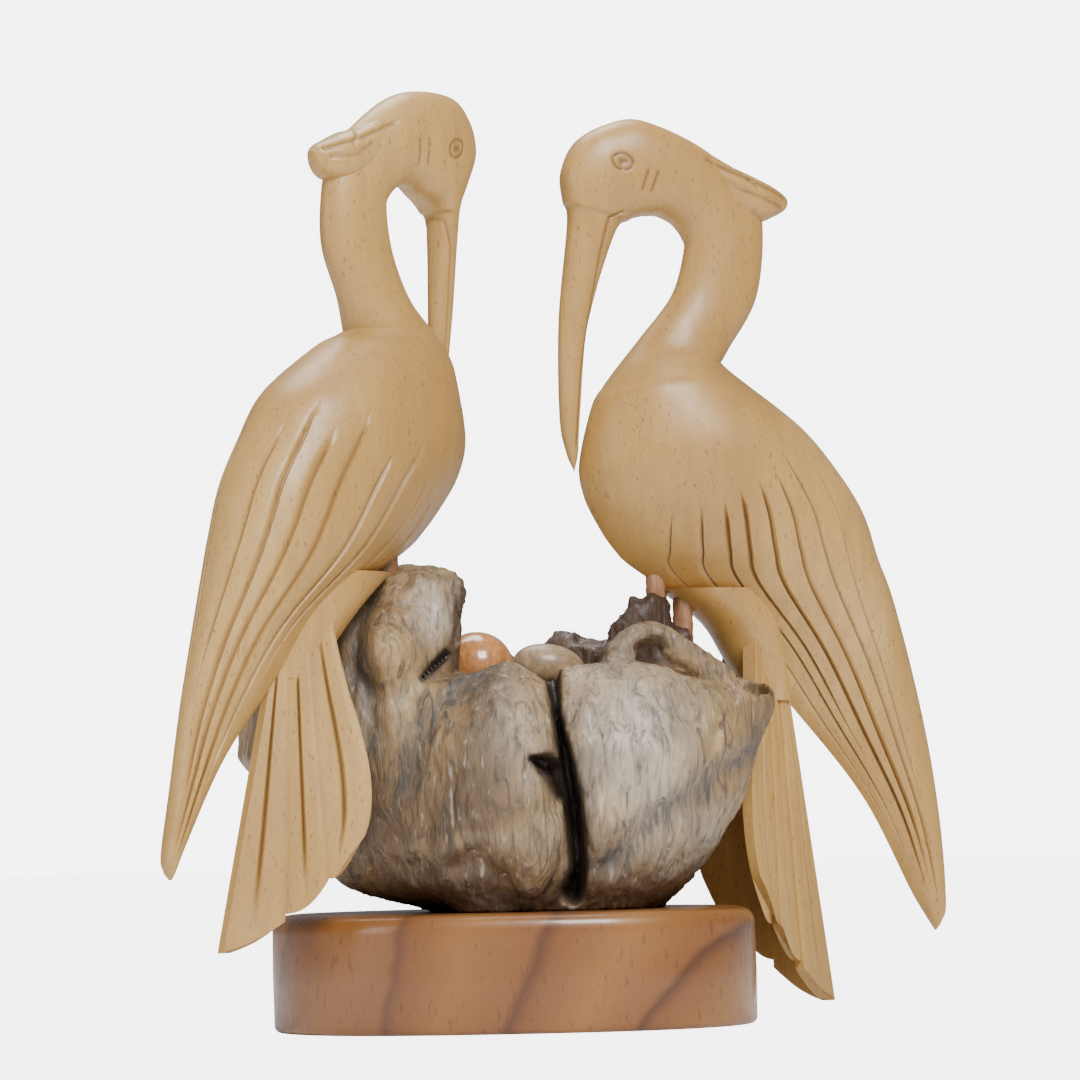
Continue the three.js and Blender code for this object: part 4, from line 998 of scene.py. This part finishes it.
EGGS = [("egg_round", 0.0164, 0.0079, 0.04, (-6.7, 2, 75.1), (0, 12, 0), "egg_red_wood",
         egg_wood("orange egg wood, polished", (0.62, 0.27, 0.085), (0.36, 0.13, 0.04), 0.25, 0.7)),
        ("egg_long", 0.0152, 0.0046, 0.1, (8.3, -7, 75.2), (0, 4, -84), "egg_grey_wood",
         egg_wood("grey-brown egg wood", (0.40, 0.27, 0.15), (0.20, 0.13, 0.07), 0.42, 0.2))]
turned = egg_tree()
for name, length, radius, blunt, spot, tilt, slot, wood in EGGS:
    egg = built_by(turned, name + "_turned", {
        "Length": length, "Radius": radius, "Blunt": blunt, "Wobble": 0.0002}, wood)
    lying = Matrix.Rotation(math.radians(-90), 4, "X")
    for degrees, axis in zip(reversed(tilt), "ZYX"):
        lying = Matrix.Rotation(math.radians(degrees), 4, axis) @ lying
    egg.data.transform(Matrix.Translation(Vector(spot) * MM) @ lying)
    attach(egg, "root")
    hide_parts(name)

# Legs: four short pegs of reddish brown wood, whittled to a slight taper and oiled. They are glued into the
# burl's top and the birds' bellies.


def peg_tree():
    tree, given, result = new_tree("whittled peg", [
        ("Foot", "NodeSocketFloat", 0.0026), ("Head", "NodeSocketFloat", 0.0022),
        ("Length", "NodeSocketFloat", 0.01),
        ("Wobble", "NodeSocketFloat", 0.0004), ("Material", "NodeSocketMaterial", None)])
    link = tree.links.new
    cone = tree.nodes.new("GeometryNodeMeshCone")
    cone.inputs["Vertices"].default_value = 40
    cone.inputs["Side Segments"].default_value = 24
    link(given.outputs["Head"], cone.inputs["Radius Top"])
    link(given.outputs["Foot"], cone.inputs["Radius Bottom"])
    link(given.outputs["Length"], cone.inputs["Depth"])
    place = tree.nodes.new("GeometryNodeInputPosition")
    noise = tree.nodes.new("ShaderNodeTexNoise")
    noise.inputs["Scale"].default_value = 500
    link(place.outputs[0], noise.inputs["Vector"])
    normal = tree.nodes.new("GeometryNodeInputNormal")
    centred = math_node(tree, "SUBTRACT", noise.outputs[0], 0.5)
    drift = math_node(tree, "MULTIPLY", centred, given.outputs["Wobble"])
    push = tree.nodes.new("ShaderNodeVectorMath")
    push.operation = "SCALE"
    link(normal.outputs[0], push.inputs[0])
    link(drift, push.inputs["Scale"])
    move = tree.nodes.new("GeometryNodeSetPosition")
    link(cone.outputs["Mesh"], move.inputs["Geometry"])
    link(push.outputs[0], move.inputs["Offset"])
    return finish_tree(tree, given, result, move.outputs[0])


def leg_wood():
    wood = Finish("leg wood, oiled", 0.5)
    grain = wood.noise(wood.mapped((900, 900, 120)), 1.0, 4, 0.6)
    wood.colour(wood.ramp(grain, [
        (0.3, (0.16, 0.07, 0.028)), (0.55, (0.34, 0.16, 0.075)), (0.75, (0.50, 0.29, 0.18))]))
    wood.bump(grain, 0.3, 0.0002)
    return wood.material


whittled, brown_wood = peg_tree(), leg_wood()
for name, foot, head in [("crane_left_leg_front", 2.6, 2.3), ("crane_left_leg_back", 2.4, 2.1),
                         ("crane_right_leg_front", 2.3, 2.1), ("crane_right_leg_back", 2.3, 2.0)]:
    low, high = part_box(name)
    low_z, high_z = low.z - 0.004, high.z + 0.0035
    peg = built_by(whittled, name + "_peg", {
        "Foot": foot * MM, "Head": head * MM, "Length": high_z - low_z, "Wobble": 0.0006}, brown_wood)
    peg.data.transform(Matrix.Translation(((low.x + high.x) / 2, (low.y + high.y) / 2, low_z)))
    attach(peg, "root")
    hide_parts(name)

# Camera, floor and light: a level view from the front, a white sweep and large soft lamps.

eye = bpy.data.cameras.new("camera")
eye.lens = 158
eye.sensor_width = 36
camera = bpy.data.objects.new("camera", eye)
bpy.context.collection.objects.link(camera)
camera.location = (0.0072, -1.0, 0.0409)
camera.matrix_world = (Matrix.Translation(camera.location) @ Matrix.Rotation(math.radians(93.5), 4, "X")
                       @ Matrix.Rotation(math.radians(-1.2), 4, "Z"))
bpy.context.scene.camera = camera

bpy.ops.mesh.primitive_plane_add(size=6, location=(0, 1.5, -0.0002))
floor = bpy.context.object
floor.name = "floor"
paper = bpy.data.materials.new("white paper")
paper.use_nodes = True
paper.node_tree.nodes["Principled BSDF"].inputs["Base Color"].default_value = (0.9, 0.9, 0.9, 1)
paper.node_tree.nodes["Principled BSDF"].inputs["Roughness"].default_value = 0.8
bright = paper.node_tree.nodes.new("ShaderNodeEmission")
bright.inputs["Strength"].default_value = 6
looked_at = paper.node_tree.nodes.new("ShaderNodeMath")
looked_at.operation = "MULTIPLY"
looked_at.inputs[1].default_value = 0.9
both = paper.node_tree.nodes.new("ShaderNodeMixShader")
paper_link = paper.node_tree.links.new
paper_link(paper.node_tree.nodes.new("ShaderNodeLightPath").outputs["Is Camera Ray"], looked_at.inputs[0])
paper_link(looked_at.outputs[0], both.inputs[0])
paper_link(paper.node_tree.nodes["Principled BSDF"].outputs[0], both.inputs[1])
paper_link(bright.outputs[0], both.inputs[2])
paper_link(both.outputs[0], paper.node_tree.nodes["Material Output"].inputs["Surface"])
floor.data.materials.append(paper)

world = bpy.data.worlds.new("studio")
world.use_nodes = True
sky = world.node_tree.nodes["Background"]
sky.inputs["Color"].default_value = (1, 1, 1, 1)
seen = world.node_tree.nodes.new("ShaderNodeLightPath").outputs["Is Camera Ray"]
brighter = world.node_tree.nodes.new("ShaderNodeMapRange")
for socket, value in zip(list(brighter.inputs)[1:5], (0, 1, 0.24, 6)):
    socket.default_value = value
world.node_tree.links.new(seen, brighter.inputs[0])
world.node_tree.links.new(brighter.outputs[0], sky.inputs["Strength"])
bpy.context.scene.world = world


def soft_lamp(name, place, aim, size, power):
    lamp = bpy.data.lights.new(name, "AREA")
    lamp.size = size
    lamp.energy = power
    holder = bpy.data.objects.new(name, lamp)
    bpy.context.collection.objects.link(holder)
    holder.location = place
    holder.rotation_euler = (Vector(aim) - Vector(place)).to_track_quat("-Z", "Y").to_euler()


soft_lamp("key", (0.3, -0.75, 0.8), (0, 0, 0.1), 0.4, 15)
soft_lamp("fill", (-0.8, -0.6, 0.35), (0, 0, 0.1), 0.5, 3)
soft_lamp("top", (-0.1, 0.25, 0.9), (0, 0, 0.1), 0.5, 7)
